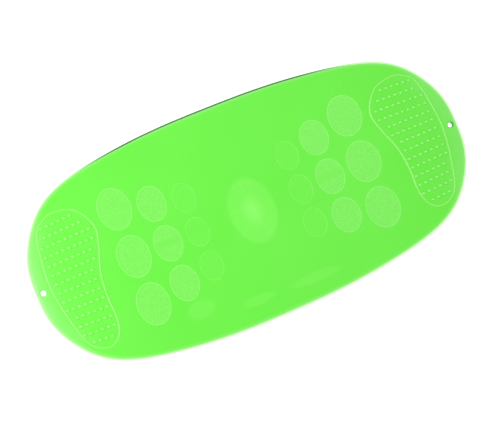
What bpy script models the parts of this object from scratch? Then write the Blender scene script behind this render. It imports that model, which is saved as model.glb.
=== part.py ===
"""Curved twist balance board.

Two moulded shells and the screws that hold them. A dished standing deck with two raised foot
pads is let into the rim of a rocker-shaped bottom shell, whose ribs carry it. The length runs
along X, the toes of both pads point along +Y, and the board rests at Z = 0 on a flat disc in
the middle of its underside.
"""

import math

import bmesh
import bpy
from mathutils import Matrix

# Board as a whole (metres)
BOARD_LENGTH = 0.615
BOARD_WIDTH = 0.304
OUTLINE_POWER = 2.8        # exponent of the superellipse outline
OUTLINE_SWELL = 0.006      # how much the corners, ends and sides swell beyond what lies between
SWELL_WAVES = 8            # four corners, two ends and two sides
MIDDLE_DEPTH = 0.017       # floor to deck at the middle
END_RISE = 0.040           # how far the deck climbs from the middle to each end
RISE_EASE = 1.3            # above 1 keeps the middle flatter than a plain cosine

# Walls and fits
DECK_WALL = 0.003
SHELL_WALL = 0.003
SEAT_GAP = 0.0003          # between faces that touch on the real board
LIP_WIDTH = 0.0018         # bottom shell's rim, outside the deck
LIP_DROP = 0.0004          # rim's top below the deck's top
EDGE_GAP = 0.0004          # groove between the rim and the deck's edge
DECK_ROUND = 0.0012        # radius on the deck's top edge
LIP_ROUND = 0.0010
UNDER_ROUND = 0.0022       # radius on the rim's lower edge

# Bottom shell
FLANGE_END = 0.020         # width of the seat that carries the deck's edge, at the ends
FLANGE_SIDE = 0.011        # the same along the long sides
BELLY_POWER = 3.0          # how full the belly is towards its edge
CONTACT_RADIUS = 0.045
CONTACT_STEP = 0.0010      # how far the contact disc stands below the belly
CONTACT_CHAMFER = 0.0020
RIB_WALL = 0.0020
RIB_PITCH_ALONG = 0.059
RIB_PITCH_ACROSS = 0.048
LONG_RIB_GAP = 0.0006      # lengthwise ribs stop this far below the seat
CROSS_RIB_GAP = 0.0010     # crosswise ribs and pillars are each a little lower, so that
PILLAR_GAP = 0.0014        # no two tops lie in one face
RIB_ROOT = 0.0012          # how deep a rib goes into the shell's wall
RIB_STEP = 0.024           # distance between points along a rib's curved edges

# Screws and what they pass through
SCREW_COUNT = 8
SCREW_END_INSET = 0.080    # from the pocket's end to the outermost screw
SCREW_SIDE_INSET = 0.048
SHANK_RADIUS = 0.0014
HEAD_RADIUS = 0.0036
HEAD_HEIGHT = 0.0019
HEAD_RECESS = 0.0026       # head's seat above the belly
SCREW_WEB = 0.0020         # plastic between the head and the deck's boss
TIP_LENGTH = 0.0012
DRIVE_WIDTH = 0.0009
DRIVE_SPAN = 0.0038
DRIVE_DEPTH = 0.0010
BOSS_WALL = 0.0026
SOCKET_WALL = 0.0020
SLIDE_GAP = 0.0003         # radial clearance round a shank, a head or a boss
WELL_GAP = 0.0007          # radial clearance for the driver round a head
SKIN_OVER_SCREW = 0.0014   # deck left above a pilot hole
TIP_GAP = 0.0006

# Hanging holes
HANG_RADIUS = 0.00375
HANG_END_INSET = 0.0099    # hole's centre to the board's end

# Foot pads
PAD_END_INSET = 0.0632     # pad's middle to the board's end
PAD_SIDE_MARGIN = 0.0553   # pad's toe or heel to the board's long side
PAD_WIDTH = 0.0860
BEAD_RADIUS = 0.0013
BEAD_SINK = 0.0004         # bead's centre line below the deck
BEAD_STEPS = 3             # points between two points of the pad's outline
BUMP_PITCH_ACROSS = 0.0082
BUMP_PITCH_INNER = 0.01305 # heel-to-toe pitch at the column nearest the board's middle
BUMP_PITCH_OUTER = 0.01240 # the same at the column nearest the board's end
BUMP_COLUMNS = 9
BUMP_ROWS_TRIED = 28       # more than fit; those outside the outline are left out
BUMP_MARGIN = 0.0034       # least distance from a bump's centre to the bead
BUMP_SHIFT_ACROSS = 0.0001   # whole grid towards the board's end
BUMP_SHIFT_ALONG = -0.0023   # and towards the heel
BUMP_HEIGHT = 0.0014
BUMP_BASE_RADIUS = 0.0028
BUMP_TOP_RADIUS = 0.0018
BUMP_SIDES = 6
BUMP_ROOT = 0.0010         # how deep a bump goes into the deck

# One foot pad in halves of its width (outward +) and of its length (toe +)
PAD_OUTLINE = [
    (0.00, 0.96), (-0.57, 0.88), (-0.95, 0.60), (-0.84, 0.31), (-0.59, -0.02), (-0.50, -0.36),
    (-0.51, -0.70), (-0.34, -0.93), (0.06, -1.01), (0.54, -0.87), (0.80, -0.50), (0.97, -0.04),
    (0.93, 0.37), (0.76, 0.76), (0.40, 0.92),
]

# How finely curves are divided
RING_POINTS = 72
ROUND_STEPS = 2
DECK_SHARES = (0.12, 0.24, 0.36, 0.48, 0.59, 0.70, 0.80, 0.90)
FLOOR_SHARES = (0.22, 0.44, 0.64, 0.80, 0.92)
BELLY_SHARES = (0.92, 0.82, 0.71, 0.60, 0.49, 0.40)
HOLE_SIDES = 16
BOSS_SIDES = 12
SCREW_SIDES = 8
WELD_DISTANCE = 1e-6

# Values that follow from the ones above
HALF_LENGTH = BOARD_LENGTH / 2
HALF_WIDTH = BOARD_WIDTH / 2
EDGE_DEPTH = DECK_WALL + SEAT_GAP + SHELL_WALL
BELLY_DEPTH = MIDDLE_DEPTH - CONTACT_STEP - EDGE_DEPTH
POCKET_HALF_LENGTH = HALF_LENGTH - FLANGE_END
POCKET_HALF_WIDTH = HALF_WIDTH - FLANGE_SIDE
DECK_INSET = LIP_WIDTH + EDGE_GAP
PAD_HALF_LENGTH = HALF_WIDTH - PAD_SIDE_MARGIN
PILOT_RADIUS = SHANK_RADIUS + SLIDE_GAP
PASSAGE_RADIUS = SHANK_RADIUS + 2 * SLIDE_GAP
WELL_RADIUS = HEAD_RADIUS + WELL_GAP
BOSS_RADIUS = PILOT_RADIUS + BOSS_WALL
SOCKET_RADIUS = BOSS_RADIUS + SLIDE_GAP
PILLAR_RADIUS = SOCKET_RADIUS + SOCKET_WALL

DECK_GREEN = (0.19, 0.93, 0.10, 1.0)
SHELL_GREEN = (0.17, 0.86, 0.09, 1.0)
ZINC_GREY = (0.60, 0.61, 0.62, 1.0)


# ---------------------------------------------------------------- surfaces
def deck_top(x):
    """Height of the deck's upper face."""
    run = min(abs(x) / HALF_LENGTH, 1.0)
    return MIDDLE_DEPTH + END_RISE * (1 - math.cos(math.pi * run ** RISE_EASE)) / 2


def deck_under(x):
    """Height of the deck's lower face."""
    return deck_top(x) - DECK_WALL


def seat(x):
    """Height of the flange that carries the deck's edge."""
    return deck_under(x) - SEAT_GAP


def swell(angle):
    """Share of the plain superellipse's reach, 1 at the ends, the sides and the corners."""
    return (1 + OUTLINE_SWELL * math.cos(SWELL_WAVES * angle)) / (1 + OUTLINE_SWELL)


def pocket_ratio(x, y):
    """0 at the middle, 1 on the outline where the belly begins."""
    along = abs(x / POCKET_HALF_LENGTH) ** (OUTLINE_POWER / 2)
    across = abs(y / POCKET_HALF_WIDTH) ** (OUTLINE_POWER / 2)
    reach = math.hypot(along, across) ** (2 / OUTLINE_POWER)
    return reach / swell(math.atan2(across, along))


def underside(x, y):
    """Height of the board's lower face, without the contact disc."""
    fullness = max(0.0, 1 - pocket_ratio(x, y) ** BELLY_POWER)
    return deck_top(x) - EDGE_DEPTH - BELLY_DEPTH * fullness


def shell_floor(x, y):
    """Height of the bottom shell's inner face."""
    return underside(x, y) + SHELL_WALL


# ---------------------------------------------------------------- outlines
def superellipse(half_length, half_width, count=RING_POINTS):
    """Plan points of the board's outline shape, anticlockwise from +X."""
    points = []
    for step in range(count):
        angle = 2 * math.pi * step / count
        along, across = math.cos(angle), math.sin(angle)
        x = half_length * math.copysign(abs(along) ** (2 / OUTLINE_POWER), along)
        y = half_width * math.copysign(abs(across) ** (2 / OUTLINE_POWER), across)
        points.append((x * swell(angle), y * swell(angle)))
    return points


def inset_outline(inset):
    """The board's outline moved inwards."""
    return superellipse(HALF_LENGTH - inset, HALF_WIDTH - inset)


def pocket_outline(share):
    """The outline where the belly begins, shrunk about the board's middle."""
    return superellipse(share * POCKET_HALF_LENGTH, share * POCKET_HALF_WIDTH)


def rounded_edge(radius):
    """(inset, drop) pairs of a quarter round, from the flat face out to the wall."""
    pairs = []
    for step in range(ROUND_STEPS + 1):
        angle = math.pi / 2 * step / ROUND_STEPS
        pairs.append((radius * (1 - math.sin(angle)), radius * (1 - math.cos(angle))))
    return pairs


def smooth_loop(points, steps):
    """Closed Catmull-Rom curve through the points."""
    count = len(points)
    loop = []
    for index in range(count):
        before, start, end, after = (points[(index + k) % count] for k in (-1, 0, 1, 2))
        for step in range(steps):
            t = step / steps
            loop.append(tuple(
                0.5 * (2 * b + (c - a) * t + (2 * a - 5 * b + 4 * c - d) * t ** 2
                       + (3 * b - a - 3 * c + d) * t ** 3)
                for a, b, c, d in zip(before, start, end, after)))
    return loop


def pad_loop(side):
    """Plan points of one foot pad's bead; side is -1 or +1."""
    middle = HALF_LENGTH - PAD_END_INSET
    points = [(side * (middle + across * PAD_WIDTH / 2), along * PAD_HALF_LENGTH)
              for across, along in PAD_OUTLINE]
    return smooth_loop(points, BEAD_STEPS)


def depth_inside(x, y, loop):
    """Distance from a point to a closed loop, negative outside it."""
    nearest = math.inf
    inside = False
    for (x0, y0), (x1, y1) in zip(loop, loop[1:] + loop[:1]):
        run, rise = x1 - x0, y1 - y0
        share = ((x - x0) * run + (y - y0) * rise) / (run * run + rise * rise)
        share = min(max(share, 0.0), 1.0)
        nearest = min(nearest, math.hypot(x - x0 - share * run, y - y0 - share * rise))
        if (y0 > y) != (y1 > y) and x < x0 + run * (y - y0) / rise:
            inside = not inside
    return nearest if inside else -nearest


def bump_places():
    """Plan points of every massage bump on both pads."""
    places = []
    for side in (-1, 1):
        loop = pad_loop(side)
        for column in range(BUMP_COLUMNS):
            outward = column / (BUMP_COLUMNS - 1)
            pitch = BUMP_PITCH_INNER + (BUMP_PITCH_OUTER - BUMP_PITCH_INNER) * outward
            offset = (column - (BUMP_COLUMNS - 1) / 2) * BUMP_PITCH_ACROSS + BUMP_SHIFT_ACROSS
            x = side * (HALF_LENGTH - PAD_END_INSET + offset)
            for row in range(BUMP_ROWS_TRIED):
                y = BUMP_SHIFT_ALONG + ((BUMP_ROWS_TRIED - 1) / 2 - row) * pitch
                if depth_inside(x, y, loop) >= BUMP_MARGIN:
                    places.append((x, y))
    return places


def screw_places():
    """Plan points of the screws, evenly round the pocket."""
    return superellipse(POCKET_HALF_LENGTH - SCREW_END_INSET,
                        POCKET_HALF_WIDTH - SCREW_SIDE_INSET, SCREW_COUNT)


def boss_seat(x, y):
    """Height of the face in the bottom shell that a deck boss stands on."""
    return underside(x, y) + HEAD_RECESS + SCREW_WEB


# ---------------------------------------------------------------- scene and meshes
def clear_scene():
    """Remove whatever the file holds."""
    for item in list(bpy.data.objects):
        bpy.data.objects.remove(item, do_unlink=True)


def new_collection(name):
    """A collection of this name in the scene."""
    collection = bpy.data.collections.new(name)
    bpy.context.scene.collection.children.link(collection)
    return collection


def plastic_or_metal(name, colour, roughness, metallic):
    """A Principled material."""
    material = bpy.data.materials.new(name)
    material.use_nodes = True
    shader = material.node_tree.nodes["Principled BSDF"]
    shader.inputs["Base Color"].default_value = colour
    shader.inputs["Roughness"].default_value = roughness
    shader.inputs["Metallic"].default_value = metallic
    return material


def add_object(name, mesh_data, collection):
    """Turn a bmesh into an object, with its faces pointing outwards."""
    bmesh.ops.recalc_face_normals(mesh_data, faces=mesh_data.faces)
    mesh = bpy.data.meshes.new(name)
    mesh_data.to_mesh(mesh)
    mesh_data.free()
    item = bpy.data.objects.new(name, mesh)
    collection.objects.link(item)
    return item


def add_piece(name, mesh_data, collection, material):
    """A sub-part of the board."""
    item = add_object(name, mesh_data, collection)
    item.data.materials.append(material)
    item.data.shade_smooth()
    item.data.set_sharp_from_angle(angle=math.radians(30))
    return item


def add_tool(name, mesh_data, collection):
    """A body that is joined to a sub-part or cut from it."""
    item = add_object(name, mesh_data, collection)
    item.hide_render = True
    item.display_type = "WIRE"
    return item


def combine(piece, tool, operation, solver="EXACT"):
    """Join a tool body to a piece, or cut it away."""
    boolean = piece.modifiers.new(tool.name, "BOOLEAN")
    boolean.operation = operation
    boolean.solver = solver
    boolean.object = tool


def loft(rings, first_middle=None, last_middle=None):
    """Closed skin over rings of points; an end without a middle point gets one flat face."""
    skin = bmesh.new()
    loops = [[skin.verts.new(point) for point in ring] for ring in rings]
    count = len(rings[0])
    for this, following in zip(loops, loops[1:]):
        for k in range(count):
            after = (k + 1) % count
            skin.faces.new((this[k], this[after], following[after], following[k]))
    for loop, middle in ((loops[0], first_middle), (loops[-1], last_middle)):
        if middle is None:
            skin.faces.new(loop)
            continue
        hub = skin.verts.new(middle)
        for k in range(count):
            skin.faces.new((loop[k], loop[(k + 1) % count], hub))
    return skin


def turned(profile, sides, x, y):
    """Spin a (radius, height) profile that starts and ends on the axis at x, y."""
    body = bmesh.new()
    verts = [body.verts.new((x + radius, y, height)) for radius, height in profile]
    edges = [body.edges.new(pair) for pair in zip(verts, verts[1:])]
    bmesh.ops.spin(body, geom=verts + edges, cent=(x, y, 0), axis=(0, 0, 1),
                   angle=2 * math.pi, steps=sides, use_merge=True)
    bmesh.ops.remove_doubles(body, verts=body.verts, dist=WELD_DISTANCE)
    return body


def pins(places, radius, low, high, sides, low_follows=False, high_follows=False):
    """Upright cylinders between two heights, each a function of x and y.

    An end that follows takes its height point by point, so that it stays inside a sloping wall
    or the same distance below one. The others are level.
    """
    group = bmesh.new()
    for x, y in places:
        bottom, top = low(x, y), high(x, y)
        place = Matrix.Translation((x, y, (bottom + top) / 2))
        made = bmesh.ops.create_cone(group, cap_ends=True, cap_tris=True, segments=sides,
                                     radius1=radius, radius2=radius, depth=top - bottom,
                                     matrix=place)
        for vert in made["verts"]:
            if vert.co.z > (bottom + top) / 2:
                if high_follows:
                    vert.co.z = high(vert.co.x, vert.co.y)
            elif low_follows:
                vert.co.z = low(vert.co.x, vert.co.y)
    return group


# ---------------------------------------------------------------- top deck
def deck_body():
    """Dished sheet with a rounded top edge."""
    rings = [[(x, y, deck_top(x)) for x, y in pocket_outline(share)] for share in DECK_SHARES]
    rings.append([(x, y, deck_top(x)) for x, y in pocket_outline(1.0)])
    for inset, drop in rounded_edge(DECK_ROUND):
        rings.append([(x, y, deck_top(x) - drop) for x, y in inset_outline(DECK_INSET + inset)])
    rings.append([(x, y, deck_under(x)) for x, y in inset_outline(DECK_INSET)])
    for share in (1.0,) + tuple(reversed(DECK_SHARES)):
        rings.append([(x, y, deck_under(x)) for x, y in pocket_outline(share)])
    return loft(rings, (0, 0, deck_top(0)), (0, 0, deck_under(0)))


def pad_bead(side, cutters):
    """Raised round line that outlines one foot pad."""
    name = "left_pad_bead" if side < 0 else "right_pad_bead"
    curve = bpy.data.curves.new(name, "CURVE")
    curve.dimensions = "3D"
    curve.bevel_depth = BEAD_RADIUS
    curve.bevel_resolution = 1
    line = curve.splines.new("POLY")
    loop = pad_loop(side)
    line.points.add(len(loop) - 1)
    for point, (x, y) in zip(line.points, loop):
        point.co = (x, y, deck_top(x) - BEAD_SINK, 1)
    line.use_cyclic_u = True
    rail = bpy.data.objects.new(name + "_line", curve)
    cutters.objects.link(rail)
    bpy.context.view_layer.update()
    evaluated = rail.evaluated_get(bpy.context.evaluated_depsgraph_get())
    mesh = bpy.data.meshes.new_from_object(evaluated)
    bead = bmesh.new()
    bead.from_mesh(mesh)
    bmesh.ops.remove_doubles(bead, verts=bead.verts, dist=WELD_DISTANCE)
    bpy.data.objects.remove(rail, do_unlink=True)
    bpy.data.meshes.remove(mesh)
    return add_tool(name, bead, cutters)


def massage_bumps():
    """Blunt bumps standing on both pads."""
    group = bmesh.new()
    depth = BUMP_HEIGHT + BUMP_ROOT
    flare = (BUMP_BASE_RADIUS - BUMP_TOP_RADIUS) * BUMP_ROOT / BUMP_HEIGHT
    for x, y in bump_places():
        place = Matrix.Translation((x, y, deck_top(x) + (BUMP_HEIGHT - BUMP_ROOT) / 2))
        bmesh.ops.create_cone(group, cap_ends=True, segments=BUMP_SIDES,
                              radius1=BUMP_BASE_RADIUS + flare, radius2=BUMP_TOP_RADIUS,
                              depth=depth, matrix=place)
    return group


def hang_places():
    """Plan points of the two hanging holes."""
    reach = HALF_LENGTH - HANG_END_INSET
    return [(-reach, 0), (reach, 0)]


def hang_hole_cutter(cutters):
    """Cutter for both hanging holes, through deck and shell."""
    holes = pins(hang_places(), HANG_RADIUS, lambda x, y: deck_top(x) - 2 * EDGE_DEPTH,
                 lambda x, y: deck_top(x) + EDGE_DEPTH, HOLE_SIDES)
    return add_tool("hang_hole_cutter", holes, cutters)


def make_top_deck(parts, cutters, material):
    """Standing deck with its pads, bosses and hanging holes."""
    deck = add_piece("top_deck", deck_body(), parts, material)
    for side in (-1, 1):
        combine(deck, pad_bead(side, cutters), "UNION")
    combine(deck, add_tool("massage_bumps", massage_bumps(), cutters), "UNION")
    bosses = pins(screw_places(), BOSS_RADIUS, lambda x, y: boss_seat(x, y) + SEAT_GAP,
                  lambda x, y: deck_top(x) - DECK_WALL / 2, BOSS_SIDES, high_follows=True)
    combine(deck, add_tool("deck_bosses", bosses, cutters), "UNION")
    pilots = pins(screw_places(), PILOT_RADIUS, lambda x, y: boss_seat(x, y) - SCREW_WEB,
                  lambda x, y: deck_top(x) - SKIN_OVER_SCREW, SCREW_SIDES)
    combine(deck, add_tool("pilot_hole_cutter", pilots, cutters), "DIFFERENCE")
    combine(deck, hang_hole_cutter(cutters), "DIFFERENCE")
    return deck


# ---------------------------------------------------------------- bottom shell
def shell_body():
    """Open tray with a rocker belly, a flat seat and an upstanding rim."""
    rings = [[(x, y, shell_floor(x, y)) for x, y in pocket_outline(share)]
             for share in FLOOR_SHARES]
    rings.append([(x, y, seat(x)) for x, y in pocket_outline(1.0)])
    rings.append([(x, y, seat(x)) for x, y in inset_outline(LIP_WIDTH)])
    rings.append([(x, y, deck_top(x) - LIP_DROP) for x, y in inset_outline(LIP_WIDTH)])
    for inset, drop in rounded_edge(LIP_ROUND):
        rings.append([(x, y, deck_top(x) - LIP_DROP - drop) for x, y in inset_outline(inset)])
    for inset, drop in reversed(rounded_edge(UNDER_ROUND)):
        rings.append([(x, y, deck_top(x) - EDGE_DEPTH + drop) for x, y in inset_outline(inset)])
    for share in (1.0,) + BELLY_SHARES:
        rings.append([(x, y, underside(x, y)) for x, y in pocket_outline(share)])
    turns = [2 * math.pi * k / RING_POINTS for k in range(RING_POINTS)]
    wide = CONTACT_RADIUS + CONTACT_CHAMFER
    disc_edge = [(wide * math.cos(turn), wide * math.sin(turn)) for turn in turns]
    rings.append([(x, y, underside(x, y)) for x, y in disc_edge])
    rings.append([(CONTACT_RADIUS * math.cos(turn), CONTACT_RADIUS * math.sin(turn), 0)
                  for turn in turns])
    return loft(rings, first_middle=(0, 0, shell_floor(0, 0)))


def spaced(low, high, step):
    """Evenly spaced values from low to high, no more than step apart."""
    count = max(2, math.ceil((high - low) / step))
    return [low + (high - low) * k / count for k in range(count + 1)]


def add_rib(group, line, thickness, top_gap):
    """Upright plate along plan points, from inside the shell's wall to just below the seat."""
    top = [(x, y, seat(x) - top_gap) for x, y in line]
    foot = [(x, y, shell_floor(x, y) - RIB_ROOT) for x, y in reversed(line)]
    outline = top + foot
    near = [group.verts.new((x - thickness[0], y - thickness[1], z)) for x, y, z in outline]
    far = [group.verts.new((x + thickness[0], y + thickness[1], z)) for x, y, z in outline]
    group.faces.new(near)
    group.faces.new(list(reversed(far)))
    count = len(outline)
    for k in range(count):
        after = (k + 1) % count
        group.faces.new((near[after], near[k], far[k], far[after]))


def rib_offsets(limit, pitch):
    """Rib places on both sides of the middle, inside the limit."""
    reach = int(limit / pitch)
    return [pitch * k for k in range(-reach, reach + 1)]


def rib_reach(offset, own_half, other_half):
    """How far a rib runs before it dies into the flange."""
    rest = max(0.0, 1 - abs(offset / own_half) ** OUTLINE_POWER)
    return other_half * rest ** (1 / OUTLINE_POWER)


def ribs(lengthwise):
    """All ribs that run one way."""
    group = bmesh.new()
    if lengthwise:
        for y in rib_offsets(POCKET_HALF_WIDTH - RIB_PITCH_ACROSS / 2, RIB_PITCH_ACROSS):
            reach = rib_reach(y, POCKET_HALF_WIDTH, POCKET_HALF_LENGTH)
            line = [(x, y) for x in spaced(-reach, reach, RIB_STEP)]
            add_rib(group, line, (0, RIB_WALL / 2), LONG_RIB_GAP)
    else:
        for x in rib_offsets(POCKET_HALF_LENGTH - RIB_PITCH_ALONG / 2, RIB_PITCH_ALONG):
            reach = rib_reach(x, POCKET_HALF_LENGTH, POCKET_HALF_WIDTH)
            line = [(x, y) for y in spaced(-reach, reach, RIB_STEP)]
            add_rib(group, line, (RIB_WALL / 2, 0), CROSS_RIB_GAP)
    return group


def make_bottom_shell(parts, cutters, material):
    """Rocker shell with its ribs, screw pillars and hanging holes."""
    shell = add_piece("bottom_shell", shell_body(), parts, material)
    combine(shell, add_tool("long_ribs", ribs(True), cutters), "UNION", "MANIFOLD")
    combine(shell, add_tool("cross_ribs", ribs(False), cutters), "UNION", "MANIFOLD")
    pillars = pins(screw_places(), PILLAR_RADIUS, lambda x, y: underside(x, y) + SHELL_WALL / 2,
                   lambda x, y: seat(x) - PILLAR_GAP, BOSS_SIDES, True, True)
    combine(shell, add_tool("screw_pillars", pillars, cutters), "UNION", "MANIFOLD")
    sockets = pins(screw_places(), SOCKET_RADIUS, boss_seat, lambda x, y: deck_top(x), BOSS_SIDES)
    combine(shell, add_tool("socket_cutter", sockets, cutters), "DIFFERENCE", "MANIFOLD")
    wells = pins(screw_places(), WELL_RADIUS, lambda x, y: underside(x, y) - EDGE_DEPTH,
                 lambda x, y: underside(x, y) + HEAD_RECESS, HOLE_SIDES)
    combine(shell, add_tool("head_well_cutter", wells, cutters), "DIFFERENCE", "MANIFOLD")
    passages = pins(screw_places(), PASSAGE_RADIUS, underside, lambda x, y: deck_top(x),
                    SCREW_SIDES)
    combine(shell, add_tool("screw_passage_cutter", passages, cutters), "DIFFERENCE", "MANIFOLD")
    combine(shell, hang_hole_cutter(cutters), "DIFFERENCE", "MANIFOLD")
    return shell


# ---------------------------------------------------------------- screws
def screw_span(x, y):
    """Heights of a screw's outer head face, its head's seat and its tip."""
    under_head = underside(x, y) + HEAD_RECESS - SEAT_GAP
    tip = deck_top(x) - SKIN_OVER_SCREW - TIP_GAP
    return under_head - HEAD_HEIGHT, under_head, tip


def drive_slots(across):
    """One bar of the cross in every screw's head."""
    group = bmesh.new()
    width, span = (DRIVE_WIDTH, DRIVE_SPAN) if across else (DRIVE_SPAN, DRIVE_WIDTH)
    for x, y in screw_places():
        place = Matrix.Translation((x, y, screw_span(x, y)[0]))
        spread = Matrix.Diagonal((width, span, 2 * DRIVE_DEPTH, 1))
        bmesh.ops.create_cube(group, size=1, matrix=place @ spread)
    return group


def make_screws(parts, cutters, material):
    """Self-tapping screws, heads down."""
    slots = [add_tool("drive_slots_along", drive_slots(False), cutters),
             add_tool("drive_slots_across", drive_slots(True), cutters)]
    for number, (x, y) in enumerate(screw_places(), start=1):
        face, under_head, tip = screw_span(x, y)
        profile = [(0, face), (HEAD_RADIUS, face), (HEAD_RADIUS, under_head),
                   (SHANK_RADIUS, under_head), (SHANK_RADIUS, tip - TIP_LENGTH), (0, tip)]
        screw = add_piece(f"screw_{number}", turned(profile, SCREW_SIDES, x, y), parts, material)
        for bars in slots:
            combine(screw, bars, "DIFFERENCE")


def main():
    """Build the board."""
    clear_scene()
    parts = new_collection("balance_board")
    cutters = new_collection("cutters")
    make_top_deck(parts, cutters, plastic_or_metal("green_deck_abs", DECK_GREEN, 0.30, 0.0))
    make_bottom_shell(parts, cutters, plastic_or_metal("green_shell_abs", SHELL_GREEN, 0.36, 0.0))
    make_screws(parts, cutters, plastic_or_metal("zinc_plated_steel", ZINC_GREY, 0.32, 1.0))


main()
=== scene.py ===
"""Curved twist balance board, dressed for the eye.

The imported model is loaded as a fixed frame. Every visible piece of the board is then built again
with finer curves on the same sizes: the dished standing deck with its two foot pads and its
spark-eroded discs, the rocker shell below it, and the screws that hold the two together. The
ribs, pillars and bosses, which lie closed in between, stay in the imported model. The length runs
along X, the toes of both pads point along +Y, and Z = 0 is the floor.
"""

import logging
import math
from dataclasses import dataclass
from enum import Enum
from typing import ClassVar, Iterable, Optional, Sequence

import bmesh
import bpy
from mathutils import Matrix, Vector


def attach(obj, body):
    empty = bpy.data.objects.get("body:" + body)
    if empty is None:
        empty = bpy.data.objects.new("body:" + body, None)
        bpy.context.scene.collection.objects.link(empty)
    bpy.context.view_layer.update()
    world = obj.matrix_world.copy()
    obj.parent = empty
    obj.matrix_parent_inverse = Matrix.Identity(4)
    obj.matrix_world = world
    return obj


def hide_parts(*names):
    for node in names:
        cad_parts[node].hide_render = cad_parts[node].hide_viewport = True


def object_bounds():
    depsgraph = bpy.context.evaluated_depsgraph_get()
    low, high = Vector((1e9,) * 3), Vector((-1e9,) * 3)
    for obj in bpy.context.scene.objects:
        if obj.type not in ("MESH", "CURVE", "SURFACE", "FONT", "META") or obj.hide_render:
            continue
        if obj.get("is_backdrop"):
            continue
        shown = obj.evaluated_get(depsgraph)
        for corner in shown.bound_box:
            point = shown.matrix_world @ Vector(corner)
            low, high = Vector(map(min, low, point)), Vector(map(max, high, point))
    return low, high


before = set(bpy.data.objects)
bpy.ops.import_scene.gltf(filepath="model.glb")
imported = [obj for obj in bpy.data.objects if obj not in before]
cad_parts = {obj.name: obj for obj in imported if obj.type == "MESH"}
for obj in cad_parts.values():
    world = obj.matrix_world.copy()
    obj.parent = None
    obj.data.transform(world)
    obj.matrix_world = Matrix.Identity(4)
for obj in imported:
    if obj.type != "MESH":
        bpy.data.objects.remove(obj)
CAD_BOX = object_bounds()

LOG = logging.getLogger("balance_board")
BODY = "root"

Plan = tuple[float, float]
Point = tuple[float, float, float]
Profile = Sequence[tuple[float, float]]

WELD_DISTANCE = 1e-6


class Side(Enum):
    """The two ends of the board."""

    LEFT = -1
    RIGHT = 1


class Slot(Enum):
    """Material slots of the record."""

    DECK = "deck_plastic"
    SHELL = "shell_plastic"
    SCREW = "screw_steel"


# ---------------------------------------------------------------- small helpers
def add_node(tree: bpy.types.NodeTree, kind: str, inputs: Optional[dict] = None,
             **settings: object) -> bpy.types.Node:
    """Add a node to a tree.

    Args:
        tree: Tree that takes the node.
        kind: Blender's name of the node's type.
        inputs: Socket name or number to a value, or to the socket or node that feeds it. A
            node feeds it from its first output in use.
        **settings: Properties of the node itself.

    Returns:
        The new node.
    """
    node = tree.nodes.new(kind)
    for name, value in settings.items():
        setattr(node, name, value)
    for key, value in (inputs or {}).items():
        if isinstance(value, bpy.types.Node):
            value = next(socket for socket in value.outputs if socket.enabled)
        if isinstance(value, bpy.types.NodeSocket):
            tree.links.new(value, node.inputs[key])
        else:
            node.inputs[key].default_value = value
    return node


def linear(hex_colour: str) -> tuple[float, float, float, float]:
    """Turn an sRGB hex colour into linear RGBA.

    Args:
        hex_colour: Colour such as "#5DE22E".

    Returns:
        Linear red, green, blue and an alpha of 1.
    """
    channels = []
    for start in (1, 3, 5):
        value = int(hex_colour[start:start + 2], 16) / 255
        channels.append(value / 12.92 if value <= 0.04045 else ((value + 0.055) / 1.055) ** 2.4)
    return (*channels, 1.0)


def link_object(name: str, mesh: bpy.types.Mesh) -> bpy.types.Object:
    """Put a mesh into the scene as an object at the origin.

    Args:
        name: Name of the object.
        mesh: Its mesh.

    Returns:
        The object.
    """
    item = bpy.data.objects.new(name, mesh)
    bpy.context.scene.collection.objects.link(item)
    return item


def mesh_from(name: str, body: bmesh.types.BMesh, solid: bool = True) -> bpy.types.Mesh:
    """Turn a bmesh into a mesh.

    Args:
        name: Name of the mesh.
        body: The bmesh, which is freed.
        solid: Turn the faces outwards, which needs a closed body.

    Returns:
        The mesh.
    """
    if solid:
        bmesh.ops.recalc_face_normals(body, faces=body.faces)
    mesh = bpy.data.meshes.new(name)
    body.to_mesh(mesh)
    body.free()
    return mesh


def closed_object(name: str, body: bmesh.types.BMesh) -> bpy.types.Object:
    """Object at the origin made of closed bodies."""
    return link_object(name, mesh_from(name, body))


def loft(rings: Sequence[Sequence[Point]], first: Optional[Point],
         last: Optional[Point]) -> bmesh.types.BMesh:
    """Skin over rings of points.

    Args:
        rings: Rings with the same number of points.
        first: Point that closes the first ring, or None to leave it open.
        last: Point that closes the last ring, or None to leave it open.

    Returns:
        The skin.
    """
    body = bmesh.new()
    loops = [[body.verts.new(point) for point in ring] for ring in rings]
    count = len(rings[0])
    for this, following in zip(loops, loops[1:]):
        for k in range(count):
            after = (k + 1) % count
            body.faces.new((this[k], this[after], following[after], following[k]))
    for loop, middle in ((loops[0], first), (loops[-1], last)):
        if middle is not None:
            hub = body.verts.new(middle)
            for k in range(count):
                body.faces.new((loop[k], loop[(k + 1) % count], hub))
    return body


def turned(profile: Profile, sides: int, centre: Point = (0.0, 0.0, 0.0)) -> bmesh.types.BMesh:
    """Body of revolution about an upright axis.

    Args:
        profile: (radius, height) pairs; the first and the last lie on the axis.
        sides: Number of sides.
        centre: Point that the profile's origin stands on.

    Returns:
        The closed body.
    """
    cx, cy, cz = centre
    turns = [2 * math.pi * k / sides for k in range(sides)]
    rings = [[(cx + radius * math.cos(turn), cy + radius * math.sin(turn), cz + height)
              for turn in turns] for radius, height in profile[1:-1]]
    return loft(rings, (cx, cy, cz + profile[0][1]), (cx, cy, cz + profile[-1][1]))


def merged(bodies: Iterable[bmesh.types.BMesh]) -> bmesh.types.BMesh:
    """Put several bmeshes into one, without joining their surfaces.

    Args:
        bodies: The bmeshes, which are freed.

    Returns:
        All of them in one.
    """
    whole = bmesh.new()
    for body in bodies:
        part = bpy.data.meshes.new("part")
        body.to_mesh(part)
        body.free()
        whole.from_mesh(part)
        bpy.data.meshes.remove(part)
    return whole


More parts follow.
